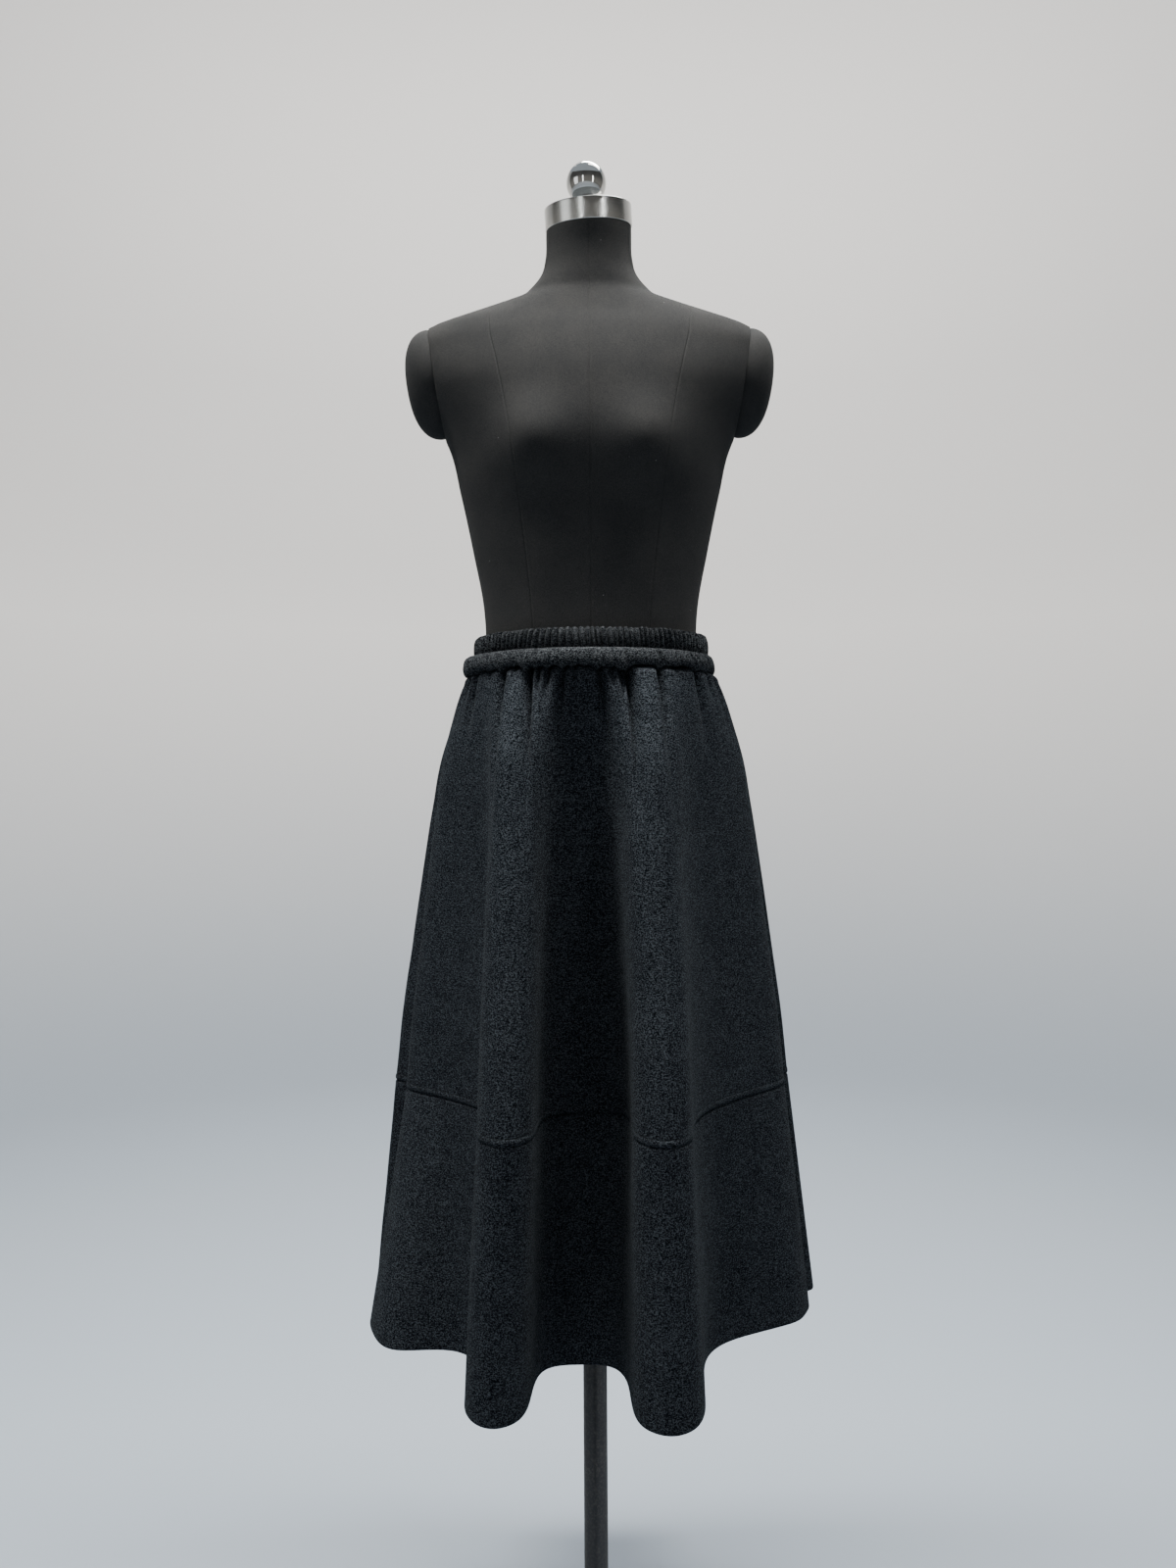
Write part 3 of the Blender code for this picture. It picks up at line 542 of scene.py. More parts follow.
def make_arm_cap(side, name):
    """A padded dome on the armhole plane, round like the end of a sleeve, tucked in at its seam."""
    centre, rotation = armhole_frame(side)
    half_height = math.dist(ARMHOLE_TOP, ARMHOLE_BOTTOM) / 2
    around = np.linspace(0, math.tau, ARM_CAP_AROUND, endpoint=False)
    rows = []
    for share in np.sin(np.linspace(ARM_CAP_FIRST_RING, 1, ARM_CAP_RINGS) * math.pi / 2):
        reach = (1 - share**ARM_CAP_FULLNESS) ** (1 / ARM_CAP_FULLNESS)
        tuck = ARM_CAP_CREASE * math.exp(-(reach * ARM_CAP_DEPTH / ARM_CAP_CREASE_WIDTH) ** 2)
        rows.append(np.stack([np.full(len(around), ARM_CAP_DEPTH * reach),
                              (ARM_CAP_HALF_DEPTH * share - tuck) * np.cos(around),
                              (half_height * share - tuck) * np.sin(around)], axis=1))
    piece = cloth_grid(name, rows, closed=True)
    dome = bmesh.new()
    dome.from_mesh(piece.data)
    bmesh.ops.holes_fill(dome, edges=[edge for edge in dome.edges if edge.is_boundary])
    bmesh.ops.recalc_face_normals(dome, faces=dome.faces)
    dome.to_mesh(piece.data)
    dome.free()
    piece.data.shade_smooth()
    piece.data.set_sharp_from_angle(angle=ARM_CAP_SHARP_EDGE)
    away = Vector((math.cos(rotation[1]), 0.0, -math.sin(rotation[1]))) * POLE_SEAT
    piece.matrix_world = Matrix.Translation(centre + away) @ Euler(rotation).to_matrix().to_4x4()
    return piece


for side, name, node in ((-1, "left_arm_cap_pad", "arm_cap_left"), (1, "right_arm_cap_pad", "arm_cap_right")):
    arm_cap = fit(make_arm_cap(side, name), FORM_JERSEY, "form_cloth", node)


# The neck's fittings: a turned steel cap with brushed sides and bright bevels, and a polished steel ball
# on a short stem that is screwed into the cap. Both lean forward with the neck.
CAP_RADIUS = 0.0475
CAP_BEVEL = 0.0011
CAP_DISH = 0.0005
CAP_LIP = 0.001
BALL_RADIUS = 0.0217
STEM_RADIUS = 0.0075
STEM_HEIGHT = 0.0032
STEEL_COLOUR = (0.60, 0.59, 0.56, 1)
STEEL_DARK_COLOUR = (0.46, 0.455, 0.435, 1)
POLISHED_COLOUR = (0.62, 0.61, 0.585, 1)


def make_brushed_steel():
    """Steel brushed round its axis: fine rings in its roughness and relief, and a few handling marks."""
    material, tree, shader = new_material("brushed_steel")
    place = own_place(tree)
    rings = add_node(tree, "Mapping", {"Vector": place, "Scale": (6, 6, 900)}).outputs[0]
    brushing = noise(tree, rings, 3.0, 4.0)
    marks = use_group(tree, HANDLING_MARKS,
                      {"Scratch length": 0.02, "Scratch share": 0.05, "Dust share": 0.2})
    tone = math_step(tree, "MULTIPLY_ADD", brushing, 0.6, times(tree, noise(tree, place, 30.0, 4.0), 0.3))
    set_inputs(tree, shader, {
        "Base Color": mix_colours(tree, span(tree, tone, 0.25, 0.65), STEEL_DARK_COLOUR, STEEL_COLOUR),
        "Roughness": math_step(tree, "ADD", span(tree, brushing, 0.3, 0.7, 0.13, 0.17),
                               times(tree, marks["Scratches"], 0.08)),
        "Normal": raised(tree, 0.03, 0.0001, brushing),
        "Tangent": add_node(tree, "Tangent", direction_type="RADIAL", axis="Z").outputs[0],
        "Metallic": 1.0,
        "Anisotropic": 0.95,
    })
    return material


def make_polished_steel():
    """Polished steel with faint finger marks."""
    material, tree, shader = new_material("polished_steel")
    smears = noise(tree, own_place(tree), 90.0, 5.0)
    marks = use_group(tree, HANDLING_MARKS,
                      {"Scratch length": 0.012, "Scratch share": 0.04, "Dust share": 0.15})
    set_inputs(tree, shader, {
        "Base Color": mix_colours(tree, span(tree, smears, 0.3, 0.8, 0.0, 0.35), POLISHED_COLOUR,
                                  STEEL_DARK_COLOUR),
        "Roughness": math_step(tree, "ADD", span(tree, smears, 0.4, 0.75, 0.03, 0.09),
                               times(tree, marks["Scratches"], 0.10)),
        "Metallic": 1.0,
    })
    return material


neck_seat = Matrix.Translation(NECK_CAP_CENTRE) @ Euler(NECK_LEAN).to_matrix().to_4x4()
cap_top, cap_bottom = NECK_CAP_HEIGHT / 2, -NECK_CAP_HEIGHT / 2
cap_rim = CAP_RADIUS - CAP_BEVEL
cap_profile = [(0.0, cap_top - CAP_DISH), (cap_rim - 2 * CAP_LIP, cap_top - CAP_DISH)]
cap_profile += [(cap_rim - CAP_LIP, cap_top)]
cap_profile += corner(cap_rim, cap_top - CAP_BEVEL, CAP_BEVEL, 90, 0, 4)
cap_profile += corner(cap_rim, cap_bottom + CAP_BEVEL, CAP_BEVEL, 0, -90, 4)
cap_profile += [(0.0, cap_bottom)]
fit(turn("neck_cap_ring", cap_profile, neck_seat), make_brushed_steel(), "brushed_steel", "neck_cap")

stem_foot = cap_top + POLE_SEAT
ball_centre = cap_top + STEM_HEIGHT + BALL_RADIUS
meeting = math.degrees(math.acos(STEM_RADIUS / BALL_RADIUS))
ball_profile = [(0.0, ball_centre + BALL_RADIUS)]
ball_profile += corner(0.0, ball_centre, BALL_RADIUS, 87, -meeting, 40)
ball_profile += [(STEM_RADIUS, stem_foot), (0.0, stem_foot)]
fit(turn("finial_ball", ball_profile, neck_seat), make_polished_steel(), "polished_steel", "finial")


# The skirt's front and back: two flared panels of charcoal melange wool knit with a brushed face, gathered
# along the top onto the waistband and joined at the sides. The cloth falls in deep flutes at the front and
# back, and a hem tier is sewn on below with its seam pressed up and topstitched.
SKIRT_TOP = 1.1197
TIER_SEAM = 0.664
HEM = 0.408
SEAM_GAP = 0.0003
UPPER_BOTTOM = TIER_SEAM + SEAM_GAP / 2
CLOTH_WALL = 0.002
WAIST_HALF_WIDTH = 0.1285
WAIST_FRONT = 0.1105
WAIST_BACK = 0.1070
WAIST_START = math.radians(-6.0)
# Name, x and y of the tip, turn, half width, reach, splay before and after, x and y of the next hollow
FOLDS_AT_HEM = (
    ("right_flute", 0.068, -0.227, -91, 0.0360, 0.125, 1.42, 1.12, 0.140, -0.047),
    ("right_front_side", 0.236, 0.020, -25, 0.0280, 0, 0, 0, 0.229, 0.067),
    ("right_back_side", 0.252, 0.104, 22, 0.0200, 0, 0, 0, 0.200, 0.132),
    ("back_right", 0.140, 0.209, 62, 0.0310, 0.075, 1.10, 1.15, 0.070, 0.126),
    ("back_middle", 0.012, 0.222, 94, 0.0360, 0.085, 1.15, 1.20, -0.062, 0.126),
    ("back_left", -0.134, 0.214, 115, 0.0330, 0.072, 1.20, 1.10, -0.196, 0.134),
    ("left_back_side", -0.252, 0.104, 160, 0.0210, 0, 0, 0, -0.238, 0.062),
    ("left_front_side", -0.240, -0.022, 203, 0.0450, 0, 0, 0, -0.150, -0.062),
    ("left_flute", -0.095, -0.213, 269, 0.0315, 0.110, 0.80, 1.38, -0.018, -0.0935),
)
FOLDS_AT_TIER_SEAM = (
    ("right_flute", 0.066, -0.210, -90, 0.0300, 0.115, 1.30, 1.60, 0.147, -0.050),
    ("right_front_side", 0.2070, 0.012, -28, 0.0280, 0, 0, 0, 0.206, 0.062),
    ("right_back_side", 0.221, 0.088, 22, 0.0170, 0, 0, 0, 0.180, 0.116),
    ("back_right", 0.124, 0.190, 60, 0.0270, 0.060, 1.10, 1.15, 0.062, 0.121),
    ("back_middle", 0.012, 0.203, 92, 0.0310, 0.070, 1.15, 1.20, -0.054, 0.121),
    ("back_left", -0.117, 0.194, 113, 0.0290, 0.058, 1.20, 1.10, -0.174, 0.118),
    ("left_back_side", -0.222, 0.070, 160, 0.0190, 0, 0, 0, -0.206, 0.036),
    ("left_front_side", -0.2005, 0.002, 215, 0.0200, 0, 0, 0, -0.150, -0.041),
    ("left_flute", -0.084, -0.204, 270, 0.0285, 0.100, 0.75, 1.38, -0.010, -0.090),
)
DEEP_FOLD = ((-1, 0.20, 0.45), (-0.72, 0.45, 0), (0, 0, 0), (0.72, 0.45, 0), (1, 0.20, 0.45))
SHALLOW_FOLD = ((-1, 0.25, 0), (0, 0, 0), (1, 0.25, 0))
LINE_STEPS = 24
RIGHT_SEAM_AFTER = "right_front_side"
LEFT_SEAM_AFTER = "left_back_side"
# Height, share of the way from the waist's plan to the tier seam's, and puff
UPPER_LEVELS = (
    (SKIRT_TOP, 0.0, 0.0),
    (1.1165, 0.032, 0.0036),
    (1.107, 0.072, 0.0056),
    (1.090, 0.150, 0.0062),
    (1.066, 0.248, 0.0058),
    (1.032, 0.380, 0.0045),
    (0.980, 0.504, 0.0025),
    (0.900, 0.655, 0.0010),
    (0.815, 0.798, 0.0),
    (0.735, 0.921, 0.0),
    (TIER_SEAM, 1.0, 0.0),
)
# Angle, depth, half width, length and lean in degrees
FRONT_GATHERS = (
    (-72.0, 0.0040, 0.0035, 0.050, 0.0),
    (-64.8, 0.0060, 0.0042, 0.100, 0.0),
    (-52.0, 0.0025, 0.0030, 0.025, -1.0),
    (-42.5, 0.0080, 0.0040, 0.220, 0.0),
    (-35.5, 0.0030, 0.0025, 0.022, 1.0),
    (-29.0, 0.0120, 0.0050, 0.260, -1.0),
    (-23.9, 0.0055, 0.0028, 0.070, -1.5),
    (-18.8, 0.0060, 0.0028, 0.050, -2.0),
    (-12.0, 0.0070, 0.0030, 0.110, -1.0),
    (-7.6, 0.0040, 0.0028, 0.045, 0.5),
    (-2.0, 0.0020, 0.0025, 0.020, 0.0),
    (3.0, 0.0070, 0.0034, 0.120, 0.5),
    (8.6, 0.0050, 0.0026, 0.030, 1.5),
    (12.6, 0.0080, 0.0032, 0.070, 3.0),
    (15.5, 0.0120, 0.0050, 0.280, 5.0),
    (31.5, 0.0080, 0.0040, 0.200, 0.0),
    (41.0, 0.0025, 0.0030, 0.022, 0.0),
    (55.0, 0.0055, 0.0042, 0.100, 1.0),
    (66.0, 0.0040, 0.0035, 0.045, 0.0),
)
SEAM_GATHER = (0.0035, 0.0050, 0.100, 0.0)
BACK_GATHER_LEANS = (0.0, 1.0, -1.5, 0.5, -0.5, 2.0, -1.0)
LEAN_DROP = 0.045
SEAM_GATHER_CLEAR = 5.5
BACK_GATHER_STEPS = (10.0, 8.0, 9.5, 6.0, 7.5, 5.5, 9.0, 7.0)
BACK_GATHER_DEPTHS = (0.0055, 0.0075, 0.0040, 0.0085, 0.0060)
BACK_GATHER_HALF_WIDTH = 0.0040
BACK_GATHER_LENGTHS = (0.080, 0.160, 0.060, 0.110)
GATHER_FADE = 1.5
GATHER_SPREAD = 0.7
PINCH_SHARE = 0.7
PINCH_WIDTH = 0.0018
PINCH_LENGTH_SHARE = 0.35
CLOTH_COLUMN_STEP = math.radians(0.48)
CLOTH_ROW_STEP = 0.0045
GATHERED_ROW_STEP = 0.0025
GATHERED_FROM = 1.06
TOP_ROW_GAP = 0.001
EDGE_STEPS = (0.0, 0.0005, 0.0011, 0.0020, 0.0032)
SIDE_SEAM_DEPTH = 0.0009
SIDE_SEAM_WIDTH = 0.0011
SIDE_SEAM_AT_HEM = 0.1
SIDE_SEAM_EASE = 0.25
TIER_SEAM_DEPTH = 0.0014
TIER_SEAM_WIDTH = 0.0011
TOPSTITCH_HEIGHT = 0.0068
TOPSTITCH_DIP = 0.0005
TOPSTITCH_DIP_WIDTH = 0.0007
SEAM_BAND_RISE = 0.0006
SEAM_BAND_SLOPE = 0.0010
SEAM_BAND_STEPS = (0.0044, 0.0054, 0.0060, 0.0064, 0.0068, 0.0072, 0.0077, 0.0084, 0.0100, 0.0130)
EASE_RISE = 0.0011
EASE_WAVES = 14
EASE_SLANT = 0.6
EASE_CLEAR_OF_SEAM = 0.02
EASE_CLEAR_OF_WAIST = 0.06
EASE_LENGTHS = (0.045, 0.19)
WOOL_DARK = (0.0020, 0.0026, 0.0038, 1)
WOOL_LIGHT = (0.0368, 0.0428, 0.0500, 1)


class ClosedCurve:
    """A smooth closed curve in plan through its knots; knot k is at parameter k."""

    def __init__(self, knots):
        self.knots = np.array(knots)
        count = len(self.knots)
        following = np.roll(self.knots, -1, axis=0)
        self.steps = np.sqrt(np.linalg.norm(following - self.knots, axis=1))
        matrix = np.zeros((count, count))
        sides = np.zeros((count, 2))
        for k in range(count):
            before, after = self.steps[k - 1], self.steps[k]
            matrix[k, k - 1] = 1 / before
            matrix[k, k] = 2 / before + 2 / after
            matrix[k, (k + 1) % count] = 1 / after
            sides[k] = 3 * ((self.knots[k] - self.knots[k - 1]) / before**2
                            + (following[k] - self.knots[k]) / after**2)
        self.slopes = np.linalg.solve(matrix, sides)

    def at(self, parameters):
        count = len(self.knots)
        parameters = np.asarray(parameters) % count
        k = np.minimum(parameters.astype(int), count - 1)
        t = (parameters - k)[:, None]
        step = self.steps[k][:, None]
        after = (k + 1) % count
        return ease_between(t, step, self.knots[k], self.slopes[k], self.knots[after], self.slopes[after])


def fold_knots(folds):
    """Plan knots of a fold table, and the knot number of the hollow after each fold."""
    knots = []
    hollows = {}
    for name, tip_x, tip_y, turned, half, reach, splay_before, splay_after, *hollow in folds:
        out_x, out_y = math.cos(math.radians(turned)), math.sin(math.radians(turned))
        steps = [(half * aside, half * back + reach * reaches)
                 for aside, back, reaches in (DEEP_FOLD if reach else SHALLOW_FOLD)]
        if reach:
            steps = [(-half * splay_before, reach), *steps, (half * splay_after, reach)]
        knots += [(tip_x - aside * out_y - back * out_x, tip_y + aside * out_x - back * out_y)
                  for aside, back in steps]
        hollows[name] = len(knots)
        knots.append(tuple(hollow))
    return knots, hollows


HEM_KNOTS, HOLLOWS = fold_knots(FOLDS_AT_HEM)
HEM_CURVE = ClosedCurve(HEM_KNOTS)
TIER_CURVE = ClosedCurve(fold_knots(FOLDS_AT_TIER_SEAM)[0])


def run_along(points):
    """Length of a line of points up to each of them."""
    return np.concatenate([[0], np.cumsum(np.linalg.norm(np.diff(points, axis=0), axis=1))])


def lengthwise_lines():
    """Parameters round the hem, and the waist angle that each runs up to: an equal share of both."""
    parameters = np.linspace(0, len(HEM_KNOTS), LINE_STEPS * len(HEM_KNOTS) + 1)
    run = run_along(HEM_CURVE.at(parameters))
    shares = run / run[-1]
    front_centre = np.interp(len(HEM_KNOTS) - 1, parameters, shares) - 1
    return parameters, WAIST_START + (shares - front_centre) * math.tau


LINE_PARAMETERS, LINE_ANGLES = lengthwise_lines()


def parameter_at(angles):
    """Parameter round the hem under each waist angle."""
    turns = (np.asarray(angles) - LINE_ANGLES[0]) % math.tau + LINE_ANGLES[0]
    return np.interp(turns, LINE_ANGLES, LINE_PARAMETERS)


def angle_of_hollow(fold):
    """Waist angle of the lengthwise line that ends in the hollow after a fold."""
    return float(np.interp(HOLLOWS[fold], LINE_PARAMETERS, LINE_ANGLES))


def all_gathers():
    """The table's front gathers, one at each side seam, and uneven ones that fill the sides and the back."""
    seams = [math.degrees(angle_of_hollow(fold)) % 360 for fold in (RIGHT_SEAM_AFTER, LEFT_SEAM_AFTER)]
    gathers = [*FRONT_GATHERS, *((seam, *SEAM_GATHER) for seam in seams)]
    angle = FRONT_GATHERS[-1][0] + BACK_GATHER_STEPS[0]
    number = 0
    while angle < FRONT_GATHERS[0][0] + 360 - BACK_GATHER_STEPS[0] / 2:
        if min(abs(angle - seam) for seam in seams) > SEAM_GATHER_CLEAR:
            depth, length, lean = (sizes[number % len(sizes)] for sizes in
                                   (BACK_GATHER_DEPTHS, BACK_GATHER_LENGTHS, BACK_GATHER_LEANS))
            gathers.append((angle, depth, BACK_GATHER_HALF_WIDTH, length, lean))
        number += 1
        angle += BACK_GATHER_STEPS[number % len(BACK_GATHER_STEPS)]
    return gathers


GATHERS = all_gathers()


def away_from(angles, centre, radius):
    """Length along a circle of some radius from the centre's angle to each angle, by the short way."""
    return ((angles - centre + math.pi) % math.tau - math.pi) * radius


def gather_depth(angles, height):
    """How far the gathers draw the cloth in at a height, and their sharp pinch under the waistband."""
    drawn = np.zeros(len(angles))
    drop = max(SKIRT_TOP - height, 0.0)
    for angle, depth, half_width, length, lean in GATHERS:
        centre = math.radians(angle + lean * (1 - math.exp(-drop / LEAN_DROP)))
        away = away_from(angles, centre, WAIST_HALF_WIDTH)
        fade = math.exp(-(GATHER_FADE * drop / length) ** 2)
        drawn += depth * fade * np.exp(-(away / (half_width * (1 + GATHER_SPREAD * drop / length))) ** 2)
        pinch = math.exp(-(drop / (PINCH_LENGTH_SHARE * length)) ** 2) * PINCH_SHARE * depth
        drawn += pinch * np.exp(-np.abs(away) / PINCH_WIDTH)
    return drawn


class ClothEase:
    """The slight unevenness of cloth that hangs free: long soft waves in its own width and length."""

    def __init__(self, seed):
        waves = np.random.default_rng(seed)
        lengths = waves.uniform(*EASE_LENGTHS, EASE_WAVES)
        slants = waves.uniform(-EASE_SLANT, EASE_SLANT, EASE_WAVES)
        self.across = math.tau / lengths * np.cos(slants)
        self.down = math.tau / lengths * np.sin(slants) * 0.5
        self.starts = waves.uniform(0, math.tau, EASE_WAVES)
        self.rises = lengths / lengths.sum()

    def at(self, run, height):
        """Rise of the cloth, within about one unit, at each point of a row."""
        phases = run[:, None] * self.across + height * self.down + self.starts
        return (np.sin(phases) * self.rises).sum(axis=1)


EASE = ClothEase(seed=11)


def panel_angles(side):
    """Waist angles of a panel's mesh columns, with close ones along its side seams."""
    left, right = angle_of_hollow(LEFT_SEAM_AFTER), angle_of_hollow(RIGHT_SEAM_AFTER)
    right = (right - left) % math.tau + left
    start, end = (left, right) if side == "front" else (right, left + math.tau)
    edges = np.array(EDGE_STEPS) / WAIST_HALF_WIDTH * 0.5
    inner = np.linspace(start + 2 * edges[-1], end - 2 * edges[-1], round((end - start) / CLOTH_COLUMN_STEP))
    return np.concatenate([start + edges, inner, end - edges[::-1]])


def finish_row(points, height, seam_distance):
    """Lay a row of a panel with its soft unevenness, its sewn-in side edges and its seam relief."""
    out = outward_in_plan(points, closed=False)
    run = run_along(points)
    edge = np.minimum(run, run[-1] - run)
    fade = 1 - np.exp(-(edge / EASE_CLEAR_OF_SEAM) ** 2)
    fade *= 1 - math.exp(-(max(SKIRT_TOP - height, 0) / EASE_CLEAR_OF_WAIST) ** 2)
    relief = EASE_RISE * EASE.at(run, height) * fade
    pressed = min(1.0, SIDE_SEAM_AT_HEM + (height - HEM) / SIDE_SEAM_EASE)
    relief -= SIDE_SEAM_DEPTH * pressed * np.exp(-(edge / SIDE_SEAM_WIDTH) ** 2)
    relief += seam_distance
    return at_height(points + out * relief[:, None], height)


def above_tier_seam(rise):
    """Relief of the upper panel at a rise above the tier seam: the seam's dip and its topstitched band."""
    dip = -TIER_SEAM_DEPTH * math.exp(-(rise / TIER_SEAM_WIDTH) ** 2)
    stitches = -TOPSTITCH_DIP * math.exp(-((rise - TOPSTITCH_HEIGHT) / TOPSTITCH_DIP_WIDTH) ** 2)
    band = SEAM_BAND_RISE * (1 - math.tanh((rise - TOPSTITCH_HEIGHT) / SEAM_BAND_SLOPE)) / 2
    return dip + stitches + band


def give_wall(piece, wall, offset=-1):
    """Give a cloth surface its thickness."""
    solidify = piece.modifiers.new("cloth wall", "SOLIDIFY")
    solidify.thickness = wall
    solidify.offset = offset
    return solidify


def make_upper_panel(side):
    """One upper panel, from under the waistband down to the tier seam."""
    angles = panel_angles(side)
    tier = TIER_CURVE.at(parameter_at(angles))
    waist = oval(angles, WAIST_HALF_WIDTH, WAIST_FRONT, WAIST_BACK)
    waist_out = outward_in_plan(waist, closed=False)
    near = [UPPER_BOTTOM + step for step in (*EDGE_STEPS, *SEAM_BAND_STEPS)]
    open_cloth = np.arange(near[-1] + CLOTH_ROW_STEP, GATHERED_FROM, CLOTH_ROW_STEP)
    gathered = np.arange(open_cloth[-1] + GATHERED_ROW_STEP, SKIRT_TOP - TOP_ROW_GAP, GATHERED_ROW_STEP)
    rows = []
    for height in np.concatenate([near, open_cloth, gathered, [SKIRT_TOP]])[::-1]:
        puffed = smooth_value(UPPER_LEVELS, 2, height)
        points = waist + (tier - waist) * smooth_value(UPPER_LEVELS, 1, height)
        points = points + waist_out * (puffed - gather_depth(angles, height))[:, None]
        rows.append(finish_row(points, height, above_tier_seam(height - UPPER_BOTTOM)))
    piece = cloth_grid(f"skirt_{side}_panel", rows)
    give_wall(piece, CLOTH_WALL)
    return piece


def make_melange():
    """Melange yarn with a brushed nap: pale and dark fibres mixed at random, and the nap's own relief."""
    group, given, results = new_group(
        "melange nap",
        [("Fleck", "Float", 0.0011), ("Contrast", "Float", 1.0), ("Dark", "Color", WOOL_DARK),
         ("Light", "Color", WOOL_LIGHT)],
        [("Color", "Color"), ("Nap", "Float")])
    place = own_place(group)
    scale = math_step(group, "DIVIDE", 1.0, given["Fleck"])
    flecks = noise(group, place, scale, 3.0, Roughness=0.65)
    strands = add_node(group, "Mapping", {"Vector": place, "Scale": (0.55, 0.55, 1.6)}).outputs[0]
    fibres = noise(group, strands, scale, 2.0, Distortion=1.2)
    drift = span(group, noise(group, place, 38.0, 3.0), 0.3, 0.7, 0.22, 0.36)
    both = math_step(group, "ADD", times(group, flecks, 0.6), times(group, fibres, 0.4))
    spread = times(group, math_step(group, "SUBTRACT", both, 0.5), times(group, given["Contrast"], 3.2))
    share = math_step(group, "ADD", spread, drift, clamp=True)
    group.links.new(mix_colours(group, share, given["Dark"], given["Light"]), results["Color"])
    fuzz = times(group, noise(group, place, 2600.0, 2.0), 0.3)
    group.links.new(math_step(group, "ADD", times(group, both, 0.7), fuzz), results["Nap"])
    return group


MELANGE = make_melange()


def make_charcoal_wool(name, light):
    """Charcoal melange wool knit with a short brushed nap over faint wales."""
    material, tree, shader = new_material(name)
    yarn = use_group(tree, MELANGE, {"Fleck": 0.0013, "Contrast": 2.5, "Dark": WOOL_DARK, "Light": light})
    cut = add_node(tree, "UVMap", uv_map="cut").outputs[0]
    knit = use_group(tree, KNIT_FACE, {"Cut": cut, "Wale": 0.0018, "Course": 0.0016})["Height"]
    set_inputs(tree, shader, {
        "Base Color": yarn["Color"],
        "Normal": raised(tree, 0.6, 0.0010, math_step(tree, "MULTIPLY_ADD", knit, 0.35, yarn["Nap"])),
        "Roughness": 1.0,
        "Specular IOR Level": 0.0,
        "Sheen Weight": 0.014,
        "Sheen Roughness": 0.25,
        "Sheen Tint": (0.80, 0.92, 1.0, 1),
    })
    return material


CHARCOAL_WOOL = make_charcoal_wool("charcoal_melange_wool", WOOL_LIGHT)

front_panel = fit(make_upper_panel("front"), CHARCOAL_WOOL, "charcoal_wool", "front_panel")
back_panel = fit(make_upper_panel("back"), CHARCOAL_WOOL, "charcoal_wool", "back_panel")


# The hem tier: a deep straight-grained band in a front and a back piece, sewn to the upper panels and to each
# other at the sides. Its lower edge is turned up inside and caught down by hand, so no stitch shows.
HEM_ALLOWANCE = 0.028
HEM_ALLOWANCE_STEPS = (-0.0012, -0.0004, 0.0004, 0.0012)
HEM_WALL = 0.0030
HEM_EDGE_DRAW = 0.0010
HEM_EDGE_WIDTH = 0.0010


def make_hem_panel(side):
    """One half of the hem tier, from the tier seam to the turned-up edge."""
    angles = panel_angles(side)
    tier = TIER_CURVE.at(parameter_at(angles))
    hem = HEM_CURVE.at(parameter_at(angles))
    top = TIER_SEAM - SEAM_GAP / 2
    below_seam = [top - step for step in EDGE_STEPS]
    above_edge = [HEM + step for step in EDGE_STEPS]
    turned_up = [HEM + HEM_ALLOWANCE + step for step in HEM_ALLOWANCE_STEPS]
    open_cloth = np.arange(below_seam[-1] - CLOTH_ROW_STEP, above_edge[-1] + CLOTH_ROW_STEP, -CLOTH_ROW_STEP)
    heights = np.unique(np.concatenate([below_seam, open_cloth, turned_up, above_edge]))[::-1]
    rows = []
    for height in heights:
        points = tier + (hem - tier) * (top - height) / (top - HEM)
        relief = -TIER_SEAM_DEPTH * math.exp(-((top - height) / TIER_SEAM_WIDTH) ** 2)
        relief -= HEM_EDGE_DRAW * math.exp(-((height - HEM) / HEM_EDGE_WIDTH) ** 2)
        rows.append(finish_row(points, height, relief))
    piece = cloth_grid(f"skirt_{side}_hem_tier", rows)
    folded = piece.vertex_groups.new(name="turned up hem")
    for row, height in enumerate(heights):
        wall = HEM_WALL if EDGE_STEPS[2] <= height - HEM < HEM_ALLOWANCE else CLOTH_WALL
        folded.add(list(range(row * len(angles), (row + 1) * len(angles))), wall / HEM_WALL, "REPLACE")
    give_wall(piece, HEM_WALL).vertex_group = folded.name
    return piece


front_hem = fit(make_hem_panel("front"), CHARCOAL_WOOL, "charcoal_wool", "front_hem_panel")
back_hem = fit(make_hem_panel("back"), CHARCOAL_WOOL, "charcoal_wool", "back_hem_panel")


# Topstitching: one row of matching thread round the skirt above the tier seam. It holds the pressed-up seam
# allowances, and each stitch sinks a little into the nap.
STITCH_LENGTH = 0.0031
STITCH_GAP = 0.0011
THREAD_RADIUS = 0.00027
STITCH_SIDES = 6
STITCH_RINGS = ((0.0, 0.35), (0.12, 0.85), (0.5, 1.0), (0.88, 0.85), (1.0, 0.35))
STITCH_LIFT = 0.00022
THREAD_COLOUR = (0.006, 0.007, 0.008, 1)


def make_sewing_thread():
    """Dark matching thread, a little smoother than the wool and twisted."""
    material, tree, shader = new_material("matching_thread")
    wave = {"Vector": own_place(tree), "Scale": 700.0, "Distortion": 2.0}
    twist = add_node(tree, "TexWave", wave).outputs["Fac"]
    set_inputs(tree, shader, {
        "Base Color": mix_colours(tree, times(tree, twist, 0.35), THREAD_COLOUR, WOOL_LIGHT),
        "Normal": raised(tree, 0.4, 0.0001, twist),
        "Roughness": 0.85,
        "Specular IOR Level": 0.1,
    })
    return material


SEWING_THREAD = make_sewing_thread()


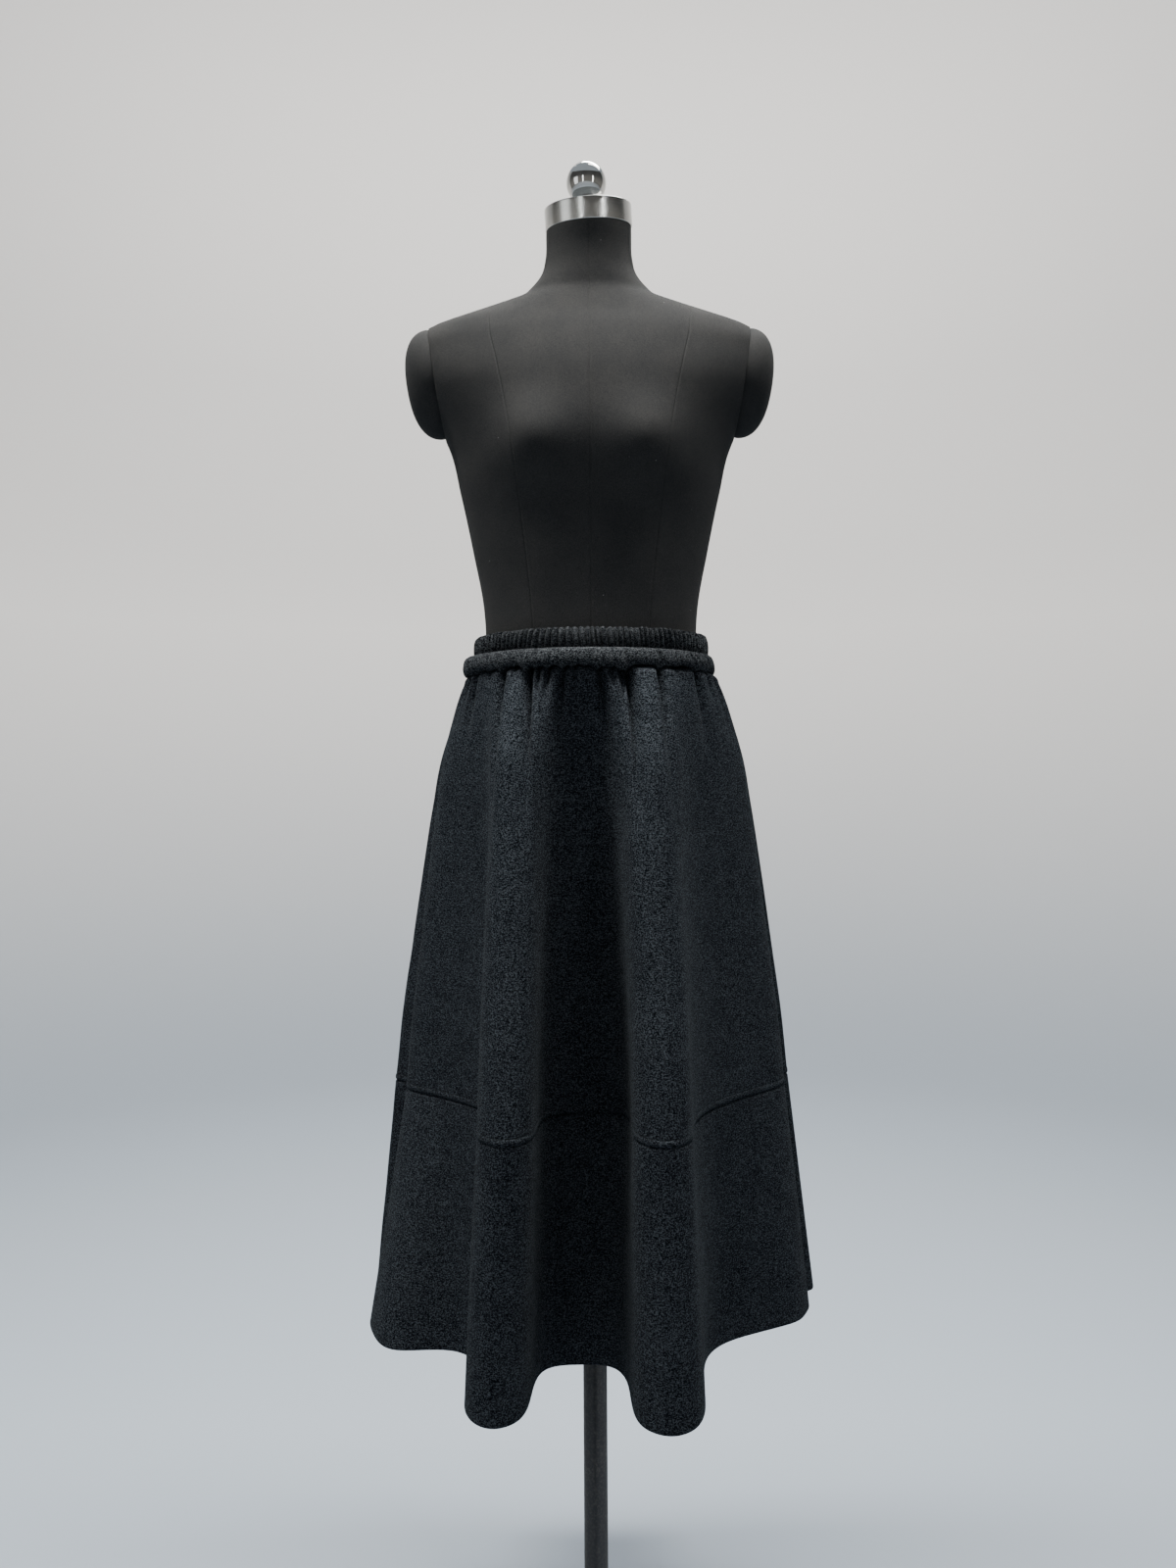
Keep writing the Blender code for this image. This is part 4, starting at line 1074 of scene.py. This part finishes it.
def stitch_line(side):
    """Points along a panel's topstitching and the outward direction at each, a stitch and its gap apart."""
    angles = panel_angles(side)
    tier = TIER_CURVE.at(parameter_at(angles))
    waist = oval(angles, WAIST_HALF_WIDTH, WAIST_FRONT, WAIST_BACK)
    height = UPPER_BOTTOM + TOPSTITCH_HEIGHT
    opened = smooth_value(UPPER_LEVELS, 1, height)
    line = finish_row(waist + (tier - waist) * opened, height, above_tier_seam(TOPSTITCH_HEIGHT))
    out = outward_in_plan(line[:, :2], closed=False)
    run = run_along(line)
    starts = np.arange(STITCH_GAP, run[-1] - STITCH_LENGTH, STITCH_LENGTH + STITCH_GAP)
    return line, at_height(out, 0.0), run, starts


def make_topstitching(side):
    """A panel's row of stitches as one mesh of small rounded lengths of thread."""
    line, out, run, starts = stitch_line(side)
    around = np.linspace(0, math.tau, STITCH_SIDES, endpoint=False)
    verts, faces = [], []
    for start in starts:
        first = len(verts)
        for share, fullness in STITCH_RINGS:
            where = start + STITCH_LENGTH * share
            centre, outward = (np.array([np.interp(where, run, values[:, axis]) for axis in range(3)])
                               for values in (line, out))
            centre += outward * STITCH_LIFT * (2 * fullness - 1)
            for angle in around:
                verts.append(centre + THREAD_RADIUS * fullness
                             * (outward * math.cos(angle) + np.array([0, 0, math.sin(angle)])))
        last = len(verts) - STITCH_SIDES
        for ring in range(first, last, STITCH_SIDES):
            for k in range(STITCH_SIDES):
                a, b = ring + k, ring + (k + 1) % STITCH_SIDES
                faces.append((a, a + STITCH_SIDES, b + STITCH_SIDES, b))
        faces.append(tuple(range(first, first + STITCH_SIDES)))
        faces.append(tuple(reversed(range(last, last + STITCH_SIDES))))
    mesh = bpy.data.meshes.new(f"{side}_topstitching")
    mesh.from_pydata([tuple(vertex) for vertex in verts], [], faces)
    mesh.shade_smooth()
    return add_piece(mesh.name, mesh)


front_stitches = fit(make_topstitching("front"), SEWING_THREAD, "charcoal_wool")
back_stitches = fit(make_topstitching("back"), SEWING_THREAD, "charcoal_wool")


# The waistband's casing: a strip of the same wool folded over a wide elastic, which shirrs it into close
# upright ribs of uneven width. It grips the form's waist. Its wool has paler flecks than the skirt's: painted
# light, for the brighter light that falls on the band up near the top.
ROLL_TOP = 1.1377
WAIST_TOP = 1.158
CASING_PROUD = 0.0128
CASING_WALL = 0.0016
# Shares of how far it stands proud, of its height and of the ribs' depth, up the face and down the inside
CASING_PATH = ((0.84, 0.0, 0.6), (0.93, 0.12, 0.9), (0.98, 0.30, 1.0), (1.0, 0.52, 1.0), (0.985, 0.72, 1.0),
               (0.93, 0.87, 1.0), (0.83, 0.96, 0.9), (0.69, 1.01, 0.7), (0.53, 1.02, 0.5), (0.38, 0.985, 0.3),
               (0.27, 0.90, 0.1), (0.22, 0.74, 0.0), (0.20, 0.40, 0.0), (0.20, 0.05, 0.0))
CASING_PATH_STEPS = 2
CASING_TURN_LEVEL = 0.9
# Paler flecks than the skirt's wool: painted light, for the band's brighter place near the top.
WAISTBAND_PAINTED_LIGHT_FLECK = (0.0560, 0.0615, 0.0670, 1)
RIB_COUNT = 126
RIB_DEPTH = 0.0058
RIB_SHARES = (0.0, 0.06, 0.14, 0.27, 0.42, 0.58, 0.73, 0.86, 0.94)
RIB_FULLNESS = 0.85
RIB_LEAN = 0.35
RIB_SCALLOP = 0.0022


def rib_angles(phases, seed):
    """Angle of each running rib number; the ribs' widths are uneven."""
    widths = np.random.default_rng(seed).uniform(0.7, 1.35, RIB_COUNT)
    edges = np.concatenate([[0], np.cumsum(widths)]) / widths.sum() * math.tau
    turns = np.floor(phases / RIB_COUNT)
    return np.interp(phases - turns * RIB_COUNT, np.arange(RIB_COUNT + 1), edges) + turns * math.tau


def make_casing():
    """The shirred casing as a folded strip: up its outer face, over the elastic and down the inside."""
    ribs = np.repeat(np.arange(RIB_COUNT), len(RIB_SHARES))
    shares = np.tile(RIB_SHARES, RIB_COUNT)
    path = np.array(CASING_PATH)
    dense = np.linspace(0, len(path) - 1, CASING_PATH_STEPS * (len(path) - 1) + 1)
    path = np.stack([np.interp(dense, np.arange(len(path)), path[:, column]) for column in range(3)], axis=1)
    bottom = ROLL_TOP + SEAM_GAP
    around = rib_angles(ribs + 0.5, seed=3)
    lean = RIB_LEAN * (np.sin(3 * around + 0.6) + 0.8 * np.sin(7 * around + 2.0))
    strengths = np.random.default_rng(5).uniform(0.7, 1.25, RIB_COUNT)[ribs] * (0.85 + 0.25 * np.sin(around))
    crest = np.sin(math.pi * shares) ** RIB_FULLNESS
    rows = []
    for proud, level, ribbed in path:
        height = bottom + (WAIST_TOP - bottom) * min(level, 1.0)
        angles = rib_angles(ribs + shares - lean * (level - 0.5), seed=3)
        waist = form_oval(angles, height, SEAM_GAP)
        out = outward_in_plan(waist)
        sunk = RIB_DEPTH * strengths * (1 - crest) * ribbed
        rise = RIB_SCALLOP * (crest * strengths - 0.5) if level > CASING_TURN_LEVEL and ribbed > 0 else 0.0
        points = waist + out * (CASING_PROUD * proud - sunk)[:, None]
        rows.append(at_height(points, bottom + (WAIST_TOP - bottom) * level + rise))
    piece = cloth_grid("waistband_casing_cloth", rows[::-1], closed=True)
    piece.data.flip_normals()
    give_wall(piece, CASING_WALL, 1)
    return piece


# The waistband's wool: a copy of the skirt's with paler flecks, as painted light.
WAISTBAND_PAINTED_LIGHT_WOOL = make_charcoal_wool("shirred_melange_wool_painted_light", WAISTBAND_PAINTED_LIGHT_FLECK)

casing = fit(make_casing(), WAISTBAND_PAINTED_LIGHT_WOOL, "charcoal_wool", "waistband_casing")


# The waistband's roll: the lower edge of the casing turned under the gathers and sewn through, so it puffs
# out as a soft roll. It dips and puckers where the gathers below it pull.
# Share of the roll's height, and how far it stands out from the waist
ROLL_PROFILE = ((0.97, 0.0068), (0.99, 0.0110), (1.0, 0.0150), (0.97, 0.0178), (0.89, 0.0198),
                (0.75, 0.0212), (0.58, 0.0221), (0.40, 0.0227), (0.22, 0.0228), (0.08, 0.0219),
                (-0.02, 0.0202), (-0.06, 0.0178), (-0.03, 0.0156), (0.0, 0.0130), (0.0, 0.0095))
ROLL_SHIFT = (-0.0020, 0.0)
ROLL_WALL = 0.0022
ROLL_COLUMNS = 940
ROLL_RADIUS = 0.137
WAIST_RADIUS = 0.13
ROLL_FULL = 0.021
ROLL_EASE = 0.0018
ROLL_EASE_LEVEL = 0.02
FULL_GATHER = 0.006
# Angle, depth, half width and lean as a share of the roll's height
ROLL_PUCKERS = (
    (-68.0, 0.0014, 0.0030, 0.2),
    (-50.0, 0.0009, 0.0040, -0.2),
    (-41.0, 0.0019, 0.0030, 0.1),
    (-33.0, 0.0015, 0.0025, -0.2),
    (-24.5, 0.0014, 0.0028, 0.1),
    (-16.0, 0.0009, 0.0024, -0.3),
    (-8.0, 0.0013, 0.0024, 0.2),
    (1.0, 0.0014, 0.0022, -0.1),
    (5.5, 0.0018, 0.0018, 0.1),
    (9.5, 0.0016, 0.0018, 0.2),
    (15.0, 0.0022, 0.0024, 0.3),
    (23.0, 0.0010, 0.0020, 0.3),
    (31.0, 0.0040, 0.0026, 0.2),
    (41.0, 0.0010, 0.0020, 0.6),
    (50.5, 0.0022, 0.0016, 0.9),
    (55.5, 0.0025, 0.0016, 1.0),
    (60.5, 0.0023, 0.0016, 1.0),
    (66.0, 0.0025, 0.0018, 0.9),
    (73.0, 0.0020, 0.0020, 0.7),
)
BACK_PUCKER_STEP = 9.0
ROLL_EDGE_WAVE = 0.0021


def all_puckers():
    """The puckers of the table and uneven ones that fill the sides and the back."""
    puckers = list(ROLL_PUCKERS)
    draw = np.random.default_rng(8)
    angle = ROLL_PUCKERS[-1][0] + BACK_PUCKER_STEP
    while angle < ROLL_PUCKERS[0][0] + 360 - BACK_PUCKER_STEP / 2:
        puckers.append((angle, draw.uniform(0.0012, 0.0028), draw.uniform(0.0020, 0.0032),
                        draw.uniform(-0.5, 0.6)))
        angle += BACK_PUCKER_STEP * draw.uniform(0.5, 1.4)
    return puckers


def make_roll():
    """The puffed roll as a bulged wall between the casing and the gathers."""
    angles = np.linspace(0, math.tau, ROLL_COLUMNS, endpoint=False)
    bottom = SKIRT_TOP + SEAM_GAP
    waist = form_oval(angles, WAIST_TOP)
    out = waist / np.linalg.norm(waist, axis=1)[:, None]
    puckers = all_puckers()
    gathers = gather_depth(angles, SKIRT_TOP) / FULL_GATHER
    waves = np.sin(5 * angles + 1.1) * 0.4 + np.sin(13 * angles) * 0.3
    edge = ROLL_EDGE_WAVE * (waves + gathers * 0.9 - 0.3)
    rows = []
    for level, proud in ROLL_PROFILE:
        sunk = np.zeros(len(angles))
        for angle, depth, half_width, lean in puckers:
            centre = math.radians(angle) + lean * (0.5 - level) * (ROLL_TOP - bottom) / ROLL_RADIUS
            sunk += depth * np.exp(-(away_from(angles, centre, ROLL_RADIUS) / half_width) ** 2)
        soft = EASE.at(angles * WAIST_RADIUS, level * ROLL_EASE_LEVEL) * ROLL_EASE
        bulge = np.clip(proud / ROLL_FULL, 0, 1)
        points = waist + out * (proud - sunk * bulge + soft * bulge)[:, None]
        points = points + np.array(ROLL_SHIFT) * bulge
        rows.append(at_height(points, bottom + (ROLL_TOP - bottom) * level - edge * (1 - level) ** 2))
    piece = cloth_grid("waistband_roll_cloth", rows, closed=True)
    give_wall(piece, ROLL_WALL)
    return piece


# The roll also wears the waistband's wool, whose paler flecks are painted light.
roll = fit(make_roll(), WAISTBAND_PAINTED_LIGHT_WOOL, "charcoal_wool", "waistband_roll")


# The studio: a matt painted bowl whose floor runs up into its wall with no edge, and a dark cloth hung round
# the camera's side. A wide light overhead draws the folds, narrow ones at the sides show in the steel, others
# light the walls, and the camera stands at the photograph's place.
BOWL_RADIUS = 5.0
BOWL_BEND = 2.2
BOWL_HEIGHT = 6.0
FLAG_RADIUS = 3.4
FLAG_HALF_ANGLE = 105
FLAG_HEIGHT = 5.0
FLAG_FOOT = 0.8
FLAG_COLUMNS = 49
FLAG_COLOUR = (0.13, 0.127, 0.123, 1)
WALL_COLOUR = (0.82, 0.80, 0.78, 1)
WALL_SHADE_COLOUR = (0.62, 0.61, 0.60, 1)
WALL_SHADE_PLACE = (-3.0, 1.5)
FLOOR_COLOUR = (0.232, 0.268, 0.312, 1)
FLOOR_FADE = (0.0, 1.8)
CAMERA_PLACE = (-0.0042, -1.30, 1.00)
CAMERA_ROLL = math.radians(0.33)
FOCAL_PIXELS = 1209
PHOTO_HEIGHT = 1600
SENSOR = 36.0
MATT_LIGHT = "overhead_light"
# Name, place, aim, width, height, power in watts and colour
LIGHTS = (
    ("overhead_light", (-0.15, -0.25, 3.0), (-0.15, -0.22, 1.0), 2.4, 0.3, 315.0, (1.0, 0.965, 0.90)),
    ("ceiling_window_light", (0.55, 0.25, 3.0), (0.0, 0.0, 1.6), 0.18, 0.9, 6.0, (1.0, 1.0, 1.0)),
    ("left_window_light", (-2.3, -1.3, 1.7), (0.0, 0.0, 1.4), 1.1, 1.5, 8.0, (0.93, 0.97, 1.0)),
    ("left_strip_light", (-0.85, -2.5, 1.7), (0.0, 0.0, 1.4), 0.05, 1.5, 5.5, (0.93, 0.97, 1.0)),
    ("right_strip_light", (1.6, -2.1, 1.7), (0.0, 0.0, 1.4), 0.08, 1.5, 8.0, (0.96, 0.98, 1.0)),
    ("back_light", (0.3, 0.9, 3.2), (0.0, 0.15, 0.9), 1.0, 0.6, 60.0, (1.0, 1.0, 1.0)),
    ("far_wall_light", (0.0, -4.1, 4.8), (0.0, -4.9, 1.0), 5.0, 0.4, 170.0, (1.0, 0.98, 0.95)),
    ("wall_light", (0.0, 1.8, 4.8), (0.2, 5.0, 2.8), 3.0, 0.5, 175.0, (1.0, 0.97, 0.93)),
)
SKY_COLOUR = (0.80, 0.90, 1.0, 1)
SKY_STRENGTH = 0.5


def make_flag():
    """A dark cloth hung round the camera's side, which keeps the wall's light there out of the folds."""
    turns = np.radians(np.linspace(-FLAG_HALF_ANGLE, FLAG_HALF_ANGLE, FLAG_COLUMNS))
    line = oval(turns, FLAG_RADIUS, FLAG_RADIUS, FLAG_RADIUS)
    flag = cloth_grid("studio_flag", [at_height(line, height) for height in (FLAG_HEIGHT, FLAG_FOOT)])
    material, tree, shader = new_material("black_flag_cloth")
    set_inputs(tree, shader, {"Base Color": FLAG_COLOUR, "Roughness": 1.0})
    flag.data.materials.append(material)
    flag.visible_camera = False


def make_bowl():
    """Floor and wall in one turned surface."""
    profile = [(0.0, 0.0), (BOWL_RADIUS - BOWL_BEND, 0.0)]
    profile += [(BOWL_RADIUS - BOWL_BEND + BOWL_BEND * math.sin(angle), BOWL_BEND * (1 - math.cos(angle)))
                for angle in np.linspace(0.05, math.pi / 2, 24)]
    profile += [(BOWL_RADIUS, BOWL_HEIGHT)]
    bowl = turn("studio_bowl", profile[::-1])
    material, tree, shader = new_material("pale_studio_paint")
    parts = add_node(tree, "SeparateXYZ", {0: own_place(tree)}).outputs
    wall = mix_colours(tree, span(tree, parts[1], *WALL_SHADE_PLACE), WALL_SHADE_COLOUR, WALL_COLOUR)
    tone = mix_colours(tree, span(tree, parts[2], *FLOOR_FADE), FLOOR_COLOUR, wall)
    set_inputs(tree, shader, {"Base Color": tone, "Roughness": 0.9})
    bowl.data.materials.append(material)


def make_lights():
    """The soft lights of the table and the even light of the room."""
    for name, place, aim, width, height, power, colour in LIGHTS:
        lamp = bpy.data.lights.new(name, "AREA")
        lamp.shape = "RECTANGLE"
        lamp.size = width
        lamp.size_y = height
        lamp.energy = power
        lamp.color = colour
        light = add_piece(name, lamp)
        light.location = place
        light.rotation_euler = (Vector(aim) - Vector(place)).to_track_quat("-Z", "Y").to_euler()
        light.visible_camera = False
        light.visible_glossy = name != MATT_LIGHT
    world = bpy.data.worlds.new("studio_air")
    world.use_nodes = True
    background = world.node_tree.nodes["Background"]
    background.inputs["Color"].default_value = SKY_COLOUR
    background.inputs["Strength"].default_value = SKY_STRENGTH
    bpy.context.scene.world = world


def make_camera():
    """The camera at the photograph's place, level and upright but for its slight roll."""
    lens = bpy.data.cameras.new("photo_camera")
    lens.sensor_width = SENSOR
    lens.sensor_fit = "AUTO"
    lens.lens = FOCAL_PIXELS / PHOTO_HEIGHT * SENSOR
    camera = add_piece("photo_camera", lens)
    camera.location = CAMERA_PLACE
    camera.rotation_euler = (math.pi / 2, CAMERA_ROLL, 0.0)
    bpy.context.scene.camera = camera


make_bowl()
make_flag()
make_lights()
make_camera()
